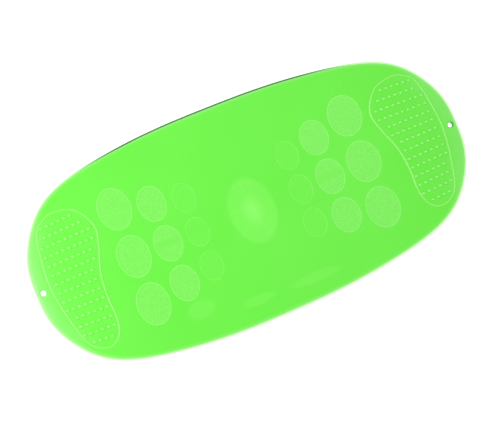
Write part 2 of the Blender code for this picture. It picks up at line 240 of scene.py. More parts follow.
def quarter(radius: float, steps: int) -> list[tuple[float, float]]:
    """(inset, drop) pairs of a quarter round, from a flat face out to a wall."""
    turns = [math.pi / 2 * k / steps for k in range(steps + 1)]
    return [(radius * (1 - math.sin(turn)), radius * (1 - math.cos(turn))) for turn in turns]


def settle(item: bpy.types.Object) -> bpy.types.Object:
    """Replace an object's mesh and modifiers by the plain mesh they give.

    Args:
        item: The object.

    Returns:
        The same object, without modifiers.
    """
    graph = bpy.context.evaluated_depsgraph_get()
    mesh = bpy.data.meshes.new_from_object(item.evaluated_get(graph), depsgraph=graph)
    item.modifiers.clear()
    old = item.data
    item.data = mesh
    bpy.data.meshes.remove(old)
    mesh.name = item.name
    return item


def smooth(item: bpy.types.Object, angle: float = 35.0) -> None:
    """Shade smoothly, with an edge left sharp where faces meet at more than the angle."""
    item.data.shade_smooth()
    item.data.set_sharp_from_angle(angle=math.radians(angle))


def outward(item: bpy.types.Object) -> None:
    """Weld an object's doubles and turn its faces outwards.

    Args:
        item: The object, with closed surfaces and no modifiers.
    """
    body = bmesh.new()
    body.from_mesh(item.data)
    bmesh.ops.remove_doubles(body, verts=body.verts, dist=WELD_DISTANCE)
    bmesh.ops.recalc_face_normals(body, faces=body.faces)
    body.to_mesh(item.data)
    body.free()


def cut(item: bpy.types.Object, cutter: bpy.types.Object) -> bpy.types.Object:
    """Cut one closed body out of another and remove the cutter.

    Args:
        item: Body that is cut.
        cutter: Body that is taken away.

    Returns:
        The cut body, with a plain mesh.
    """
    tool = item.modifiers.new("cut", "BOOLEAN")
    tool.operation = "DIFFERENCE"
    tool.solver = "MANIFOLD"
    tool.object = cutter
    settle(item)
    bpy.data.objects.remove(cutter, do_unlink=True)
    return item


def hand_over(item: bpy.types.Object, slot: Slot, *nodes: str) -> bpy.types.Object:
    """Give a finished piece to the frame.

    Args:
        item: The piece, at the origin.
        slot: Material slot of the piece; not used.
        *nodes: CAD nodes that it stands for.

    Returns:
        The piece.
    """
    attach(item, BODY)
    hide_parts(*nodes)
    LOG.info("%s: %d faces, stands for %s", item.name, len(item.data.polygons), ", ".join(nodes))
    return item


# ---------------------------------------------------------------- the board's form
@dataclass(frozen=True)
class BoardForm:
    """Outline and heights that every piece of the board shares, in metres."""

    half_length: float
    half_width: float
    outline_power: float = 2.8   # superellipse
    outline_swell: float = 0.006
    swell_waves: int = 8
    middle_depth: float = 0.017  # deck's upper face over the floor, in the middle
    end_rise: float = 0.040      # and how much higher it lies at the ends
    rise_ease: float = 1.3       # above 1 the middle is flatter
    deck_wall: float = 0.003
    shell_wall: float = 0.003
    seat_gap: float = 0.0003
    belly_depth: float = 0.0097
    belly_power: float = 3.0     # how full the belly is towards its outline
    flange_end: float = 0.020    # flat margin round the belly, at the ends
    flange_side: float = 0.011   # and along the sides
    ring_points: int = 240
    trail_steps: int = 40        # fine steps between two points of a ring, for even spacing
    screw_count: int = 8
    screw_end_inset: float = 0.080
    screw_side_inset: float = 0.048

    @property
    def edge_depth(self) -> float:
        """Height of the board's edge, from its lower to its upper face."""
        return self.deck_wall + self.seat_gap + self.shell_wall

    def deck_top(self, x: float) -> float:
        """Height of the deck's upper face."""
        turn = math.pi * min(abs(x) / self.half_length, 1.0) ** self.rise_ease
        return self.middle_depth + self.end_rise * (1 - math.cos(turn)) / 2

    def swell(self, angle: float) -> float:
        """Share of the plain superellipse's reach at an angle."""
        wave = self.outline_swell * math.cos(self.swell_waves * angle)
        return (1 + wave) / (1 + self.outline_swell)

    def angles(self) -> list[float]:
        """Angles whose points lie evenly along the outline.

        Returns:
            One angle for each point of a ring, from +X round by +Y.
        """
        fine = self.trail_steps * self.ring_points
        turns = [2 * math.pi * k / fine for k in range(fine + 1)]
        trail = [self._outline_point(self.half_length, self.half_width, turn) for turn in turns]
        along = [0.0]
        for (x0, y0), (x1, y1) in zip(trail, trail[1:]):
            along.append(along[-1] + math.hypot(x1 - x0, y1 - y0))
        picked, k = [], 0
        for n in range(self.ring_points):
            wanted = along[-1] * n / self.ring_points
            while along[k] < wanted:
                k += 1
            picked.append(turns[k])
        return picked

    def _outline_point(self, half_length: float, half_width: float, angle: float) -> Plan:
        """Point of the outline shape at an angle.

        Args:
            half_length: Half the shape's length.
            half_width: Half its width.
            angle: Angle of the superellipse.

        Returns:
            The plan point.
        """
        along, across = math.cos(angle), math.sin(angle)
        reach = self.swell(angle)
        return (reach * half_length * math.copysign(abs(along) ** (2 / self.outline_power), along),
                reach * half_width * math.copysign(abs(across) ** (2 / self.outline_power), across))

    def outline(self, angles: Sequence[float], inset: float) -> list[Plan]:
        """The board's outline moved inwards."""
        return [self._outline_point(self.half_length - inset, self.half_width - inset, angle)
                for angle in angles]

    def pocket(self, angles: Sequence[float], share: float) -> list[Plan]:
        """The outline where the belly begins, shrunk about the board's middle."""
        return [self._outline_point(share * self.pocket_half_length,
                                    share * self.pocket_half_width, angle) for angle in angles]

    @property
    def pocket_half_length(self) -> float:
        """Half the length of the pocket that the belly closes."""
        return self.half_length - self.flange_end

    @property
    def pocket_half_width(self) -> float:
        """Half the width of that pocket."""
        return self.half_width - self.flange_side

    def pocket_ratio(self, x: float, y: float) -> float:
        """How far out a place lies.

        Args:
            x: Place along the board.
            y: Place across it.

        Returns:
            0 at the middle, 1 on the outline where the belly begins.
        """
        along = abs(x / self.pocket_half_length) ** (self.outline_power / 2)
        across = abs(y / self.pocket_half_width) ** (self.outline_power / 2)
        reach = math.hypot(along, across) ** (2 / self.outline_power)
        return reach / self.swell(math.atan2(across, along))

    def belly(self, x: float, y: float) -> float:
        """How far the board's lower face lies below the deck's upper one."""
        fullness = max(0.0, 1 - self.pocket_ratio(x, y) ** self.belly_power)
        return self.edge_depth + self.belly_depth * fullness

    def screw_places(self) -> list[Plan]:
        """Plan points of the screws, evenly round the pocket."""
        return [self._outline_point(self.pocket_half_length - self.screw_end_inset,
                                    self.pocket_half_width - self.screw_side_inset,
                                    2 * math.pi * k / self.screw_count)
                for k in range(self.screw_count)]

    def rise_inputs(self) -> dict[str, float]:
        """Values for the inputs of the rise group."""
        return {"Half Length": self.half_length, "Middle Depth": self.middle_depth,
                "End Rise": self.end_rise, "Rise Ease": self.rise_ease}


# ---------------------------------------------------------------- geometry nodes
FOLLOWS = "follows"   # 1 where a point rides on the deck's curve, 0 where it stays level
SIZE = "part_size"    # scale of a repeated part
PAINTED_LIGHT_AND_SHADE = "crest"       # painted light and shade: 1 for a painted highlight on raised tops, 0 on the flat deck, -1 for painted shade round a bump's foot
RIM = "rim"           # share of painted light at the rim: 1 where the wall ends, 0 well inside it

MATH = "ShaderNodeMath"
RANGE = "ShaderNodeMapRange"
MIX = "ShaderNodeMix"
NOISE = "ShaderNodeTexNoise"


class Trees:
    """Geometry Nodes trees of the board, each built once."""

    RISE_SOCKETS = ("Half Length", "Middle Depth", "End Rise", "Rise Ease")
    DOME_RIM = 0.14      # least radius of a bump's dome, as a share of its top radius
    FOOT_FLARE = 3.0     # how quickly a bump's foot narrows
    SHADED_BELOW = 0.25   # share of a bump's height where the painted shade round its foot ends, and where the painted highlight on its top begins
    HIGHLIT_ABOVE = 0.70  # and where soles begin to rub
    BUMP_CREST = 0.70
    BEAD_CREST = 0.80
    BEAD_HIGHLIT_SPAN = (0.1, 0.9)
    BEAD_HOLLOW = 1.6    # above 1 the flanks of a pad's outline are hollow

    def __init__(self) -> None:
        """Build every tree."""
        self.rise = self._rise_group()
        self.skin = self._skin_tree()
        self.repeat = self._repeat_tree()
        self.bumps = self._bump_tree()
        self.bead = self._bead_tree()

    def _start(self, name: str, numbers: Sequence[str] = (), counts: Sequence[str] = (),
               objects: Sequence[str] = (), finish: bool = True
               ) -> tuple[bpy.types.NodeTree, bpy.types.Node, bpy.types.Node]:
        """New tree with named inputs.

        Args:
            name: Name of the tree.
            numbers: Names of its float inputs.
            counts: Names of its integer inputs.
            objects: Names of its object inputs.
            finish: Whether it has a Material input.

        Returns:
            The tree, its input node and its output node.
        """
        tree = bpy.data.node_groups.new(name, "GeometryNodeTree")
        face = tree.interface
        face.new_socket("Geometry", in_out="INPUT", socket_type="NodeSocketGeometry")
        for kind, names in (("NodeSocketFloat", numbers), ("NodeSocketInt", counts),
                            ("NodeSocketObject", objects)):
            for socket in names:
                face.new_socket(socket, in_out="INPUT", socket_type=kind)
        if finish:
            face.new_socket("Material", in_out="INPUT", socket_type="NodeSocketMaterial")
        face.new_socket("Geometry", in_out="OUTPUT", socket_type="NodeSocketGeometry")
        return tree, add_node(tree, "NodeGroupInput"), add_node(tree, "NodeGroupOutput")

    def _rise_group(self) -> bpy.types.NodeTree:
        """Group that lifts every point by the board's rule: a cosine from middle to end.

        Returns:
            The group.
        """
        tree, given, out = self._start("board_rise", self.RISE_SOCKETS, finish=False)
        place = add_node(tree, "ShaderNodeSeparateXYZ",
                         {0: add_node(tree, "GeometryNodeInputPosition")})
        away = add_node(tree, MATH, {0: place.outputs["X"]}, operation="ABSOLUTE")
        share = add_node(tree, MATH, {0: away, 1: given.outputs["Half Length"]},
                         operation="DIVIDE")
        run = add_node(tree, MATH, {0: share, 1: 1.0}, operation="MINIMUM")
        eased = add_node(tree, MATH, {0: run, 1: given.outputs["Rise Ease"]}, operation="POWER")
        turn = add_node(tree, MATH, {0: eased, 1: math.pi}, operation="MULTIPLY")
        swing = add_node(tree, MATH, {0: turn}, operation="COSINE")
        climb = add_node(tree, MATH, {0: swing, 1: -0.5, 2: 0.5}, operation="MULTIPLY_ADD")
        lift = add_node(tree, MATH, {0: climb, 1: given.outputs["End Rise"],
                                     2: given.outputs["Middle Depth"]}, operation="MULTIPLY_ADD")
        marked = add_node(tree, "GeometryNodeInputNamedAttribute", {"Name": FOLLOWS},
                          data_type="FLOAT")
        follows = add_node(tree, "GeometryNodeSwitch",
                           {"Switch": marked.outputs["Exists"], "False": 1.0,
                            "True": marked.outputs["Attribute"]}, input_type="FLOAT")
        height = add_node(tree, MATH, {0: lift, 1: follows}, operation="MULTIPLY")
        offset = add_node(tree, "ShaderNodeCombineXYZ", {"Z": height})
        moved = add_node(tree, "GeometryNodeSetPosition",
                         {"Geometry": given.outputs["Geometry"], "Offset": offset})
        tree.links.new(moved.outputs[0], out.inputs["Geometry"])
        return tree

    def _finish(self, tree: bpy.types.NodeTree, given: bpy.types.Node, out: bpy.types.Node,
                shape: bpy.types.NodeSocket) -> bpy.types.NodeTree:
        """Realize the shape, lay it on the deck's curve and give it its material.

        Args:
            tree: Tree that is being built.
            given: Its input node.
            out: Its output node.
            shape: Geometry on a flat board.

        Returns:
            The tree.
        """
        laid = add_node(tree, "GeometryNodeGroup", node_tree=self.rise)
        real = add_node(tree, "GeometryNodeRealizeInstances", {"Geometry": shape})
        tree.links.new(real.outputs[0], laid.inputs["Geometry"])
        for name in self.RISE_SOCKETS:
            tree.links.new(given.outputs[name], laid.inputs[name])
        dressed = add_node(tree, "GeometryNodeSetMaterial",
                           {"Geometry": laid.outputs[0], "Material": given.outputs["Material"]})
        tree.links.new(dressed.outputs[0], out.inputs["Geometry"])
        return tree

    def _skin_tree(self) -> bpy.types.NodeTree:
        """Tree that bends a skin drawn on a flat board to the board's rise."""
        tree, given, out = self._start("raised_skin", self.RISE_SOCKETS)
        return self._finish(tree, given, out, given.outputs["Geometry"])

    def _repeat_tree(self) -> bpy.types.NodeTree:
        """Tree that sets one part on every point, scaled by the point's size.

        Returns:
            The tree.
        """
        tree, given, out = self._start("repeated_part", self.RISE_SOCKETS, objects=("Part",))
        part = add_node(tree, "GeometryNodeObjectInfo", {"Object": given.outputs["Part"]},
                        transform_space="ORIGINAL")
        size = add_node(tree, "GeometryNodeInputNamedAttribute", {"Name": SIZE},
                        data_type="FLOAT_VECTOR")
        placed = add_node(tree, "GeometryNodeInstanceOnPoints",
                          {"Points": given.outputs["Geometry"],
                           "Instance": part.outputs["Geometry"],
                           "Scale": size.outputs["Attribute"]})
        return self._finish(tree, given, out, placed.outputs[0])

    def _bump_tree(self) -> bpy.types.NodeTree:
        """Tree that grows a round bump with a soft foot on every point.

        Returns:
            The tree.
        """
        tree, given, out = self._start(
            "massage_bumps", self.RISE_SOCKETS + ("Foot Radius", "Top Radius", "Height", "Sink"),
            ("Sides", "Steps"))
        line = add_node(tree, "GeometryNodeCurvePrimitiveLine", {"End": (0.0, 0.0, 1.0)})
        spine = add_node(tree, "GeometryNodeResampleCurve",
                         {"Curve": line, "Count": given.outputs["Steps"]})
        along = add_node(tree, "GeometryNodeSplineParameter").outputs["Factor"]
        turn = add_node(tree, MATH, {0: along, 1: math.pi / 2}, operation="MULTIPLY")
        level = add_node(tree, MATH, {0: turn}, operation="SINE")
        tall = add_node(tree, MATH, {0: given.outputs["Height"], 1: given.outputs["Sink"]},
                        operation="ADD")
        climb = add_node(tree, MATH, {0: level, 1: tall}, operation="MULTIPLY")
        height = add_node(tree, MATH, {0: climb, 1: given.outputs["Sink"]}, operation="SUBTRACT")
        spot = add_node(tree, "ShaderNodeCombineXYZ", {"Z": height})
        raised = add_node(tree, "GeometryNodeSetPosition",
                          {"Geometry": spine, "Position": spot})
        # painted shade round the bump's foot (below 0) and a painted highlight on its top (above 0)
        rubbed_and_highlight = add_node(tree, RANGE, {"Value": level, "From Min": self.SHADED_BELOW,
                                        "From Max": self.HIGHLIT_ABOVE, "To Min": -1.0,
                                        "To Max": self.BUMP_CREST})
        marked = add_node(tree, "GeometryNodeStoreNamedAttribute",
                          {"Geometry": raised, "Name": PAINTED_LIGHT_AND_SHADE, "Value": rubbed_and_highlight},
                          data_type="FLOAT", domain="POINT")
        # the top's dome, plus a foot that flares into the deck
        cosine = add_node(tree, MATH, {0: turn}, operation="COSINE")
        dome = add_node(tree, MATH, {0: cosine, 1: self.DOME_RIM}, operation="MAXIMUM")
        sag = add_node(tree, MATH, {0: 1.0, 1: level}, operation="SUBTRACT")
        flare = add_node(tree, MATH, {0: sag, 1: self.FOOT_FLARE}, operation="POWER")
        wide = add_node(tree, MATH, {0: given.outputs["Foot Radius"],
                                     1: given.outputs["Top Radius"]}, operation="SUBTRACT")
        foot = add_node(tree, MATH, {0: flare, 1: wide}, operation="MULTIPLY")
        radius = add_node(tree, MATH, {0: dome, 1: given.outputs["Top Radius"], 2: foot},
                          operation="MULTIPLY_ADD")
        circle = add_node(tree, "GeometryNodeCurvePrimitiveCircle",
                          {"Resolution": given.outputs["Sides"], "Radius": 1.0})
        body = add_node(tree, "GeometryNodeCurveToMesh",
                        {"Curve": marked, "Profile Curve": circle, "Scale": radius,
                         "Fill Caps": True})
        placed = add_node(tree, "GeometryNodeInstanceOnPoints",
                          {"Points": given.outputs["Geometry"], "Instance": body.outputs[0]})
        return self._finish(tree, given, out, placed.outputs[0])

    def _bead_tree(self) -> bpy.types.NodeTree:
        """Tree that sweeps a low rounded ridge along every closed line.

        Returns:
            The tree.
        """
        tree, given, out = self._start(
            "pad_beads", self.RISE_SOCKETS + ("Half Width", "Height", "Sink"), ("Steps",))
        rail = add_node(tree, "GeometryNodeMeshToCurve", {"Mesh": given.outputs["Geometry"]})
        circle = add_node(tree, "GeometryNodeCurvePrimitiveCircle",
                          {"Resolution": given.outputs["Steps"], "Radius": 1.0})
        spot = add_node(tree, "ShaderNodeSeparateXYZ",
                        {0: add_node(tree, "GeometryNodeInputPosition")})
        across = add_node(tree, MATH, {0: spot.outputs["X"], 1: given.outputs["Half Width"]},
                          operation="MULTIPLY")
        # the circle's upper half becomes a ridge with a hollow flank, its lower half lies sunk;
        # a profile's Y points down where its curve lies level, so the height changes its sign
        above = add_node(tree, MATH, {0: spot.outputs["Y"], 1: 0.0}, operation="MAXIMUM")
        crest = add_node(tree, MATH, {0: above, 1: self.BEAD_HOLLOW}, operation="POWER")
        below = add_node(tree, MATH, {0: spot.outputs["Y"], 1: 0.0}, operation="MINIMUM")
        under = add_node(tree, MATH, {0: below, 1: given.outputs["Sink"]}, operation="MULTIPLY")
        upright = add_node(tree, MATH, {0: crest, 1: given.outputs["Height"], 2: under},
                           operation="MULTIPLY_ADD")
        # painted highlight along the top of a pad's outline
        rubbed_and_highlight = add_node(tree, RANGE, {"Value": above, "From Min": self.BEAD_HIGHLIT_SPAN[0],
                                        "From Max": self.BEAD_HIGHLIT_SPAN[1],
                                        "To Max": self.BEAD_CREST})
        marked = add_node(tree, "GeometryNodeStoreNamedAttribute",
                          {"Geometry": circle, "Name": PAINTED_LIGHT_AND_SHADE, "Value": rubbed_and_highlight},
                          data_type="FLOAT", domain="POINT")
        sunk = add_node(tree, MATH, {0: upright, 1: -1.0}, operation="MULTIPLY")
        shaped = add_node(tree, "GeometryNodeSetPosition",
                          {"Geometry": marked,
                           "Position": add_node(tree, "ShaderNodeCombineXYZ",
                                                {"X": across, "Y": sunk})})
        swept = add_node(tree, "GeometryNodeCurveToMesh", {"Curve": rail, "Profile Curve": shaped})
        return self._finish(tree, given, out, swept.outputs[0])

    def grow(self, name: str, seed: bpy.types.Mesh, tree: bpy.types.NodeTree,
             values: dict[str, object]) -> bpy.types.Object:
        """Run a tree over a mesh and keep what it gives as a plain mesh.

        Args:
            name: Name of the new piece.
            seed: Mesh that goes into the tree.
            tree: The tree.
            values: Input names to values.

        Returns:
            The piece, without modifiers.
        """
        item = link_object(name, seed)
        run = item.modifiers.new(tree.name, "NODES")
        run.node_group = tree
        for socket in tree.interface.items_tree:
            if socket.item_type == "SOCKET" and socket.in_out == "INPUT" and socket.name in values:
                run[socket.identifier] = values[socket.name]
        return settle(item)


# ---------------------------------------------------------------- finishes
@dataclass(frozen=True)
class Finish:
    """What every finish has: a name and a shader with constant values on its own sockets."""

    name: str
    roughness: float
    ior: float

    def shader(self) -> tuple[bpy.types.Material, bpy.types.NodeTree, bpy.types.Node]:
        """New material.

        Returns:
            The material, its node tree and its Principled shader.
        """
        material = bpy.data.materials.new(self.name)
        material.use_nodes = True
        tree = material.node_tree
        shader = tree.nodes["Principled BSDF"]
        shader.inputs["Roughness"].default_value = self.roughness
        shader.inputs["IOR"].default_value = self.ior
        return material, tree, shader


@dataclass(frozen=True)
class MouldedDeckAbs(Finish):
    """Glossy green ABS as it leaves a polished mould.

    The eye sees a clean, even green with a soft sheen. In the middle a painted highlight lies in an
    oval, lighter at its heart, with streaks running outwards. Bump tops and pad lines carry a paler
    painted highlight, painted shade lies round each bump's foot, and the deck's edge and ends are
    painted paler, painted light for light coming through the plastic there. A few painted
    reflections lie as pale ovals along the front edge. The walls of the hanging holes carry
    painted shade.
    """

    colour: str = "#5DE22E"
    painted_highlight: str = "#86F060"
    rubbed_and_highlight: str = "#8DEC66"
    foot_shade: str = "#3FB01D"
    rim_light: str = "#8DE177"
    hole_shade: str = "#2F6B22"
    hole_middle: Point = (0.2976, 0.0, 0.0)
    hole_reach: float = 0.0042   # just past a hole's wall
    # middle, half length and half width of each painted reflection along the front edge
    reflections: tuple[tuple[float, ...], ...] = (
        (0.050, -0.121, 0.040, 0.0075), (-0.035, -0.119, 0.026, 0.0080),
        (-0.114, -0.100, 0.022, 0.0140))
    reflection_share: float = 0.20
    highlight_centre: Plan = (0.0035, -0.0031)
    highlight_half: Plan = (0.0337, 0.0480)
    patch_share: float = 0.30    # strength of the painted highlight all over its oval
    heart_share: float = 0.46    # and what its heart adds
    heart_reach: float = 0.62
    cloud_size: float = 0.110    # broad uneven colour of a cooling sheet
    cloud_share: float = 0.14
    hand_size: float = 0.045     # where hands hold it the polish goes
    hand_dulling: float = 0.10

    def build(self) -> bpy.types.Material:
        """Make the material.

        Returns:
            The material.
        """
        material, tree, shader = self.shader()
        place = add_node(tree, "ShaderNodeTexCoord").outputs["Object"]
        worn_and_painted_light = self.worn_and_painted_light(tree, self.reflected(tree, place, self.highlighted(tree, place)))
        # painted light: the deck's edge and ends are mixed to a paler green for light coming
        # through the plastic
        rim = add_node(tree, "ShaderNodeAttribute", attribute_name=RIM).outputs["Fac"]
        edged = add_node(tree, MIX, {0: rim, 6: worn_and_painted_light, 7: linear(self.rim_light)}, data_type="RGBA")
        # painted shade on the walls of the hanging holes
        holed = add_node(tree, MIX, {0: self.in_hole(tree, place), 6: edged,
                                     7: linear(self.hole_shade)}, data_type="RGBA")
        tree.links.new(holed.outputs[2], shader.inputs["Base Color"])
        # a polished mould leaves ripples of about 0.6 mm, drawn at 3 mm so that they show
        skin = add_node(tree, NOISE, {"Vector": place, "Scale": 1 / 0.0030, "Detail": 2.0})
        peel = add_node(tree, "ShaderNodeBump",
                        {"Strength": 0.03, "Distance": 0.0001, "Height": skin})
        tree.links.new(peel.outputs[0], shader.inputs["Normal"])
        hands = add_node(tree, NOISE,
                         {"Vector": place, "Scale": 1 / self.hand_size, "Detail": 3.0})
        dulled = add_node(tree, RANGE,
                          {"Value": hands, "To Min": self.roughness - self.hand_dulling,
                           "To Max": self.roughness + self.hand_dulling})
        tree.links.new(dulled.outputs[0], shader.inputs["Roughness"])
        return material

    @staticmethod
    def oval(tree: bpy.types.NodeTree, place: bpy.types.NodeSocket, centre: Plan, half: Plan
             ) -> tuple[bpy.types.Node, bpy.types.Node]:
        """Measure a place in the half axes of an oval.

        Args:
            tree: Tree of the material.
            place: The place.
            centre: Middle of the oval.
            half: Half its length and half its width.

        Returns:
            The place from the oval's middle, and its distance, which is 1 on the oval.
        """
        centred = add_node(tree, "ShaderNodeMapping",
                           {"Vector": place,
                            "Location": (-centre[0] / half[0], -centre[1] / half[1], 0.0),
                            "Scale": (1 / half[0], 1 / half[1], 0.0)})
        return centred, add_node(tree, "ShaderNodeVectorMath", {0: centred}, operation="LENGTH")

    def highlighted(self, tree: bpy.types.NodeTree, place: bpy.types.NodeSocket) -> bpy.types.Node:
        """Colour of the clean plastic: cloudy, with a painted highlight in an oval round the
        middle.

        Args:
            tree: Tree of the material.
            place: Place on the board.

        Returns:
            Node that gives the colour.
        """
        # painted highlight: an oval patch, lighter at its heart, with streaks running outwards
        centred, reach = self.oval(tree, place, self.highlight_centre, self.highlight_half)
        patch = add_node(tree, RANGE,
                         {"Value": reach, "From Min": 0.88, "From Max": 1.04,
                          "To Min": self.patch_share, "To Max": 0.0},
                         interpolation_type="SMOOTHSTEP")
        heart = add_node(tree, RANGE,
                         {"Value": reach, "From Min": 0.0, "From Max": self.heart_reach,
                          "To Min": self.heart_share, "To Max": 0.0},
                         interpolation_type="SMOOTHSTEP")
        whole = add_node(tree, MATH, {0: patch, 1: heart}, operation="ADD")
        heading = add_node(tree, "ShaderNodeVectorMath", {0: centred}, operation="NORMALIZE")
        rays = add_node(tree, NOISE, {"Vector": heading, "Scale": 7.0, "Detail": 4.0})
        streaks = add_node(tree, RANGE, {"Value": rays, "From Min": 0.35, "From Max": 0.65,
                                         "To Min": 0.80, "To Max": 1.12})
        broad = add_node(tree, NOISE,
                         {"Vector": place, "Scale": 1 / self.cloud_size, "Detail": 1.0})
        cloud = add_node(tree, RANGE, {"Value": broad, "From Min": 0.2, "From Max": 0.8,
                                       "To Min": 0.0, "To Max": self.cloud_share})
        share = add_node(tree, MATH, {0: whole, 1: streaks, 2: cloud}, operation="MULTIPLY_ADD")
        return add_node(tree, MIX, {0: share, 6: linear(self.colour), 7: linear(self.painted_highlight)},
                        data_type="RGBA")

    def reflected(self, tree: bpy.types.NodeTree, place: bpy.types.NodeSocket,
              under: bpy.types.Node) -> bpy.types.Node:
        """Lay the painted reflections, pale ovals, over a colour.

        Args:
            tree: Tree of the material.
            place: Place on the board.
            under: Node that gives the colour.

        Returns:
            Node that gives the marked colour.
        """
        for x, y, half_along, half_across in self.reflections:
            _, out = self.oval(tree, place, (x, y), (half_along, half_across))
            mark = add_node(tree, RANGE, {"Value": out, "From Min": 0.70, "From Max": 1.10,
                                          "To Min": self.reflection_share, "To Max": 0.0},
                            interpolation_type="SMOOTHSTEP")
            under = add_node(tree, MIX, {0: mark, 6: under, 7: linear(self.painted_highlight)},
                             data_type="RGBA")
        return under

    def worn_and_painted_light(self, tree: bpy.types.NodeTree, under: bpy.types.Node) -> bpy.types.Node:
        """Lay painted shade round the bumps' feet and a painted highlight on bump tops and pad
        lines over a colour.

        Args:
            tree: Tree of the material.
            under: Node that gives the colour.

        Returns:
            Node that gives the colour with painted highlight and shade.
        """
        crest = add_node(tree, "ShaderNodeAttribute", attribute_name=PAINTED_LIGHT_AND_SHADE).outputs["Fac"]
        # painted shade round each bump's foot
        foot = add_node(tree, MATH, {0: crest, 1: -1.0}, operation="MULTIPLY")
        foot_shaded = add_node(tree, MIX, {0: foot, 6: under, 7: linear(self.foot_shade)},
                         data_type="RGBA")
        # painted highlight on bump tops and pad lines
        return add_node(tree, MIX, {0: crest, 6: foot_shaded, 7: linear(self.rubbed_and_highlight)},
                        data_type="RGBA")

    def in_hole(self, tree: bpy.types.NodeTree, place: bpy.types.NodeSocket) -> bpy.types.Node:
        """Tell the walls of the hanging holes, which take a painted shade, from the rest.

        Args:
            tree: Tree of the material.
            place: Place on the board.

        Returns:
            Node that gives 1 on a hole's wall, and 0 elsewhere.
        """
        either = add_node(tree, "ShaderNodeVectorMath", {0: place}, operation="ABSOLUTE")
        aside = add_node(tree, "ShaderNodeVectorMath", {0: either, 1: self.hole_middle},
                         operation="SUBTRACT")
        level = add_node(tree, "ShaderNodeVectorMath", {0: aside, 1: (1.0, 1.0, 0.0)},
                         operation="MULTIPLY")
        away = add_node(tree, "ShaderNodeVectorMath", {0: level}, operation="LENGTH")
        return add_node(tree, MATH, {0: away, 1: self.hole_reach}, operation="LESS_THAN")


@dataclass(frozen=True)
class SparkErodedAbs(Finish):
    """The same ABS where the mould was spark-eroded.

    The eye sees a paler, dry patch with a fine bright and dark speckle, and a painted highlight in
    a paler green on its raised rim. A band of painted reflection in a plain green crosses the inner
    patches along the board's middle line.
    """

    pale: str = "#7AE855"
    dark: str = "#67DD3F"
    # edge: painted highlight on the raised rim; smooth: painted reflection along the middle line
    edge: str = "#86EC62"
    smooth: str = "#6BE241"
    grain: float = 0.0013
    band_half_width: float = 0.0050
    band_softness: float = 0.3
    band_reach: float = 0.1450   # from the board's middle

    def build(self) -> bpy.types.Material:
        """Make the material.

        Returns:
            The material.
        """
        material, tree, shader = self.shader()
        place = add_node(tree, "ShaderNodeTexCoord").outputs["Object"]
        # sparks leave pits of about 0.2 mm, drawn at 1.3 mm so that they show
        pits = add_node(tree, NOISE, {"Vector": place, "Scale": 1 / self.grain, "Detail": 1.0})
        spots = add_node(tree, RANGE, {"Value": pits, "From Min": 0.35, "From Max": 0.65})
        # painted reflection: a band along the board's middle line across the inner discs
        across = add_node(tree, "ShaderNodeSeparateXYZ", {0: place}).outputs["Y"]
        away = add_node(tree, MATH, {0: across}, operation="ABSOLUTE")
        band = add_node(tree, RANGE,
                        {"Value": away,
                         "From Min": (1 - self.band_softness) * self.band_half_width,
                         "From Max": (1 + self.band_softness) * self.band_half_width,
                         "To Min": 1.0, "To Max": 0.0}, interpolation_type="SMOOTHSTEP")
        along = add_node(tree, "ShaderNodeSeparateXYZ", {0: place}).outputs["X"]
        out = add_node(tree, MATH, {0: along}, operation="ABSOLUTE")
        inner = add_node(tree, MATH, {0: out, 1: self.band_reach}, operation="LESS_THAN")
        crossed = add_node(tree, MATH, {0: band, 1: inner}, operation="MULTIPLY")
        # painted highlight on the discs' raised rims
        crest = add_node(tree, "ShaderNodeAttribute", attribute_name=PAINTED_LIGHT_AND_SHADE).outputs["Fac"]
        speckled = add_node(tree, MIX, {0: spots, 6: linear(self.dark), 7: linear(self.pale)},
                            data_type="RGBA")
        banded = add_node(tree, MIX, {0: crossed, 6: speckled, 7: linear(self.smooth)},
                          data_type="RGBA")
        ringed = add_node(tree, MIX, {0: crest, 6: banded, 7: linear(self.edge)},
                          data_type="RGBA")
        tree.links.new(ringed.outputs[2], shader.inputs["Base Color"])
        rough = add_node(tree, "ShaderNodeBump",
                         {"Strength": 0.2, "Distance": 0.0001, "Height": pits})
        tree.links.new(rough.outputs[0], shader.inputs["Normal"])
        return material


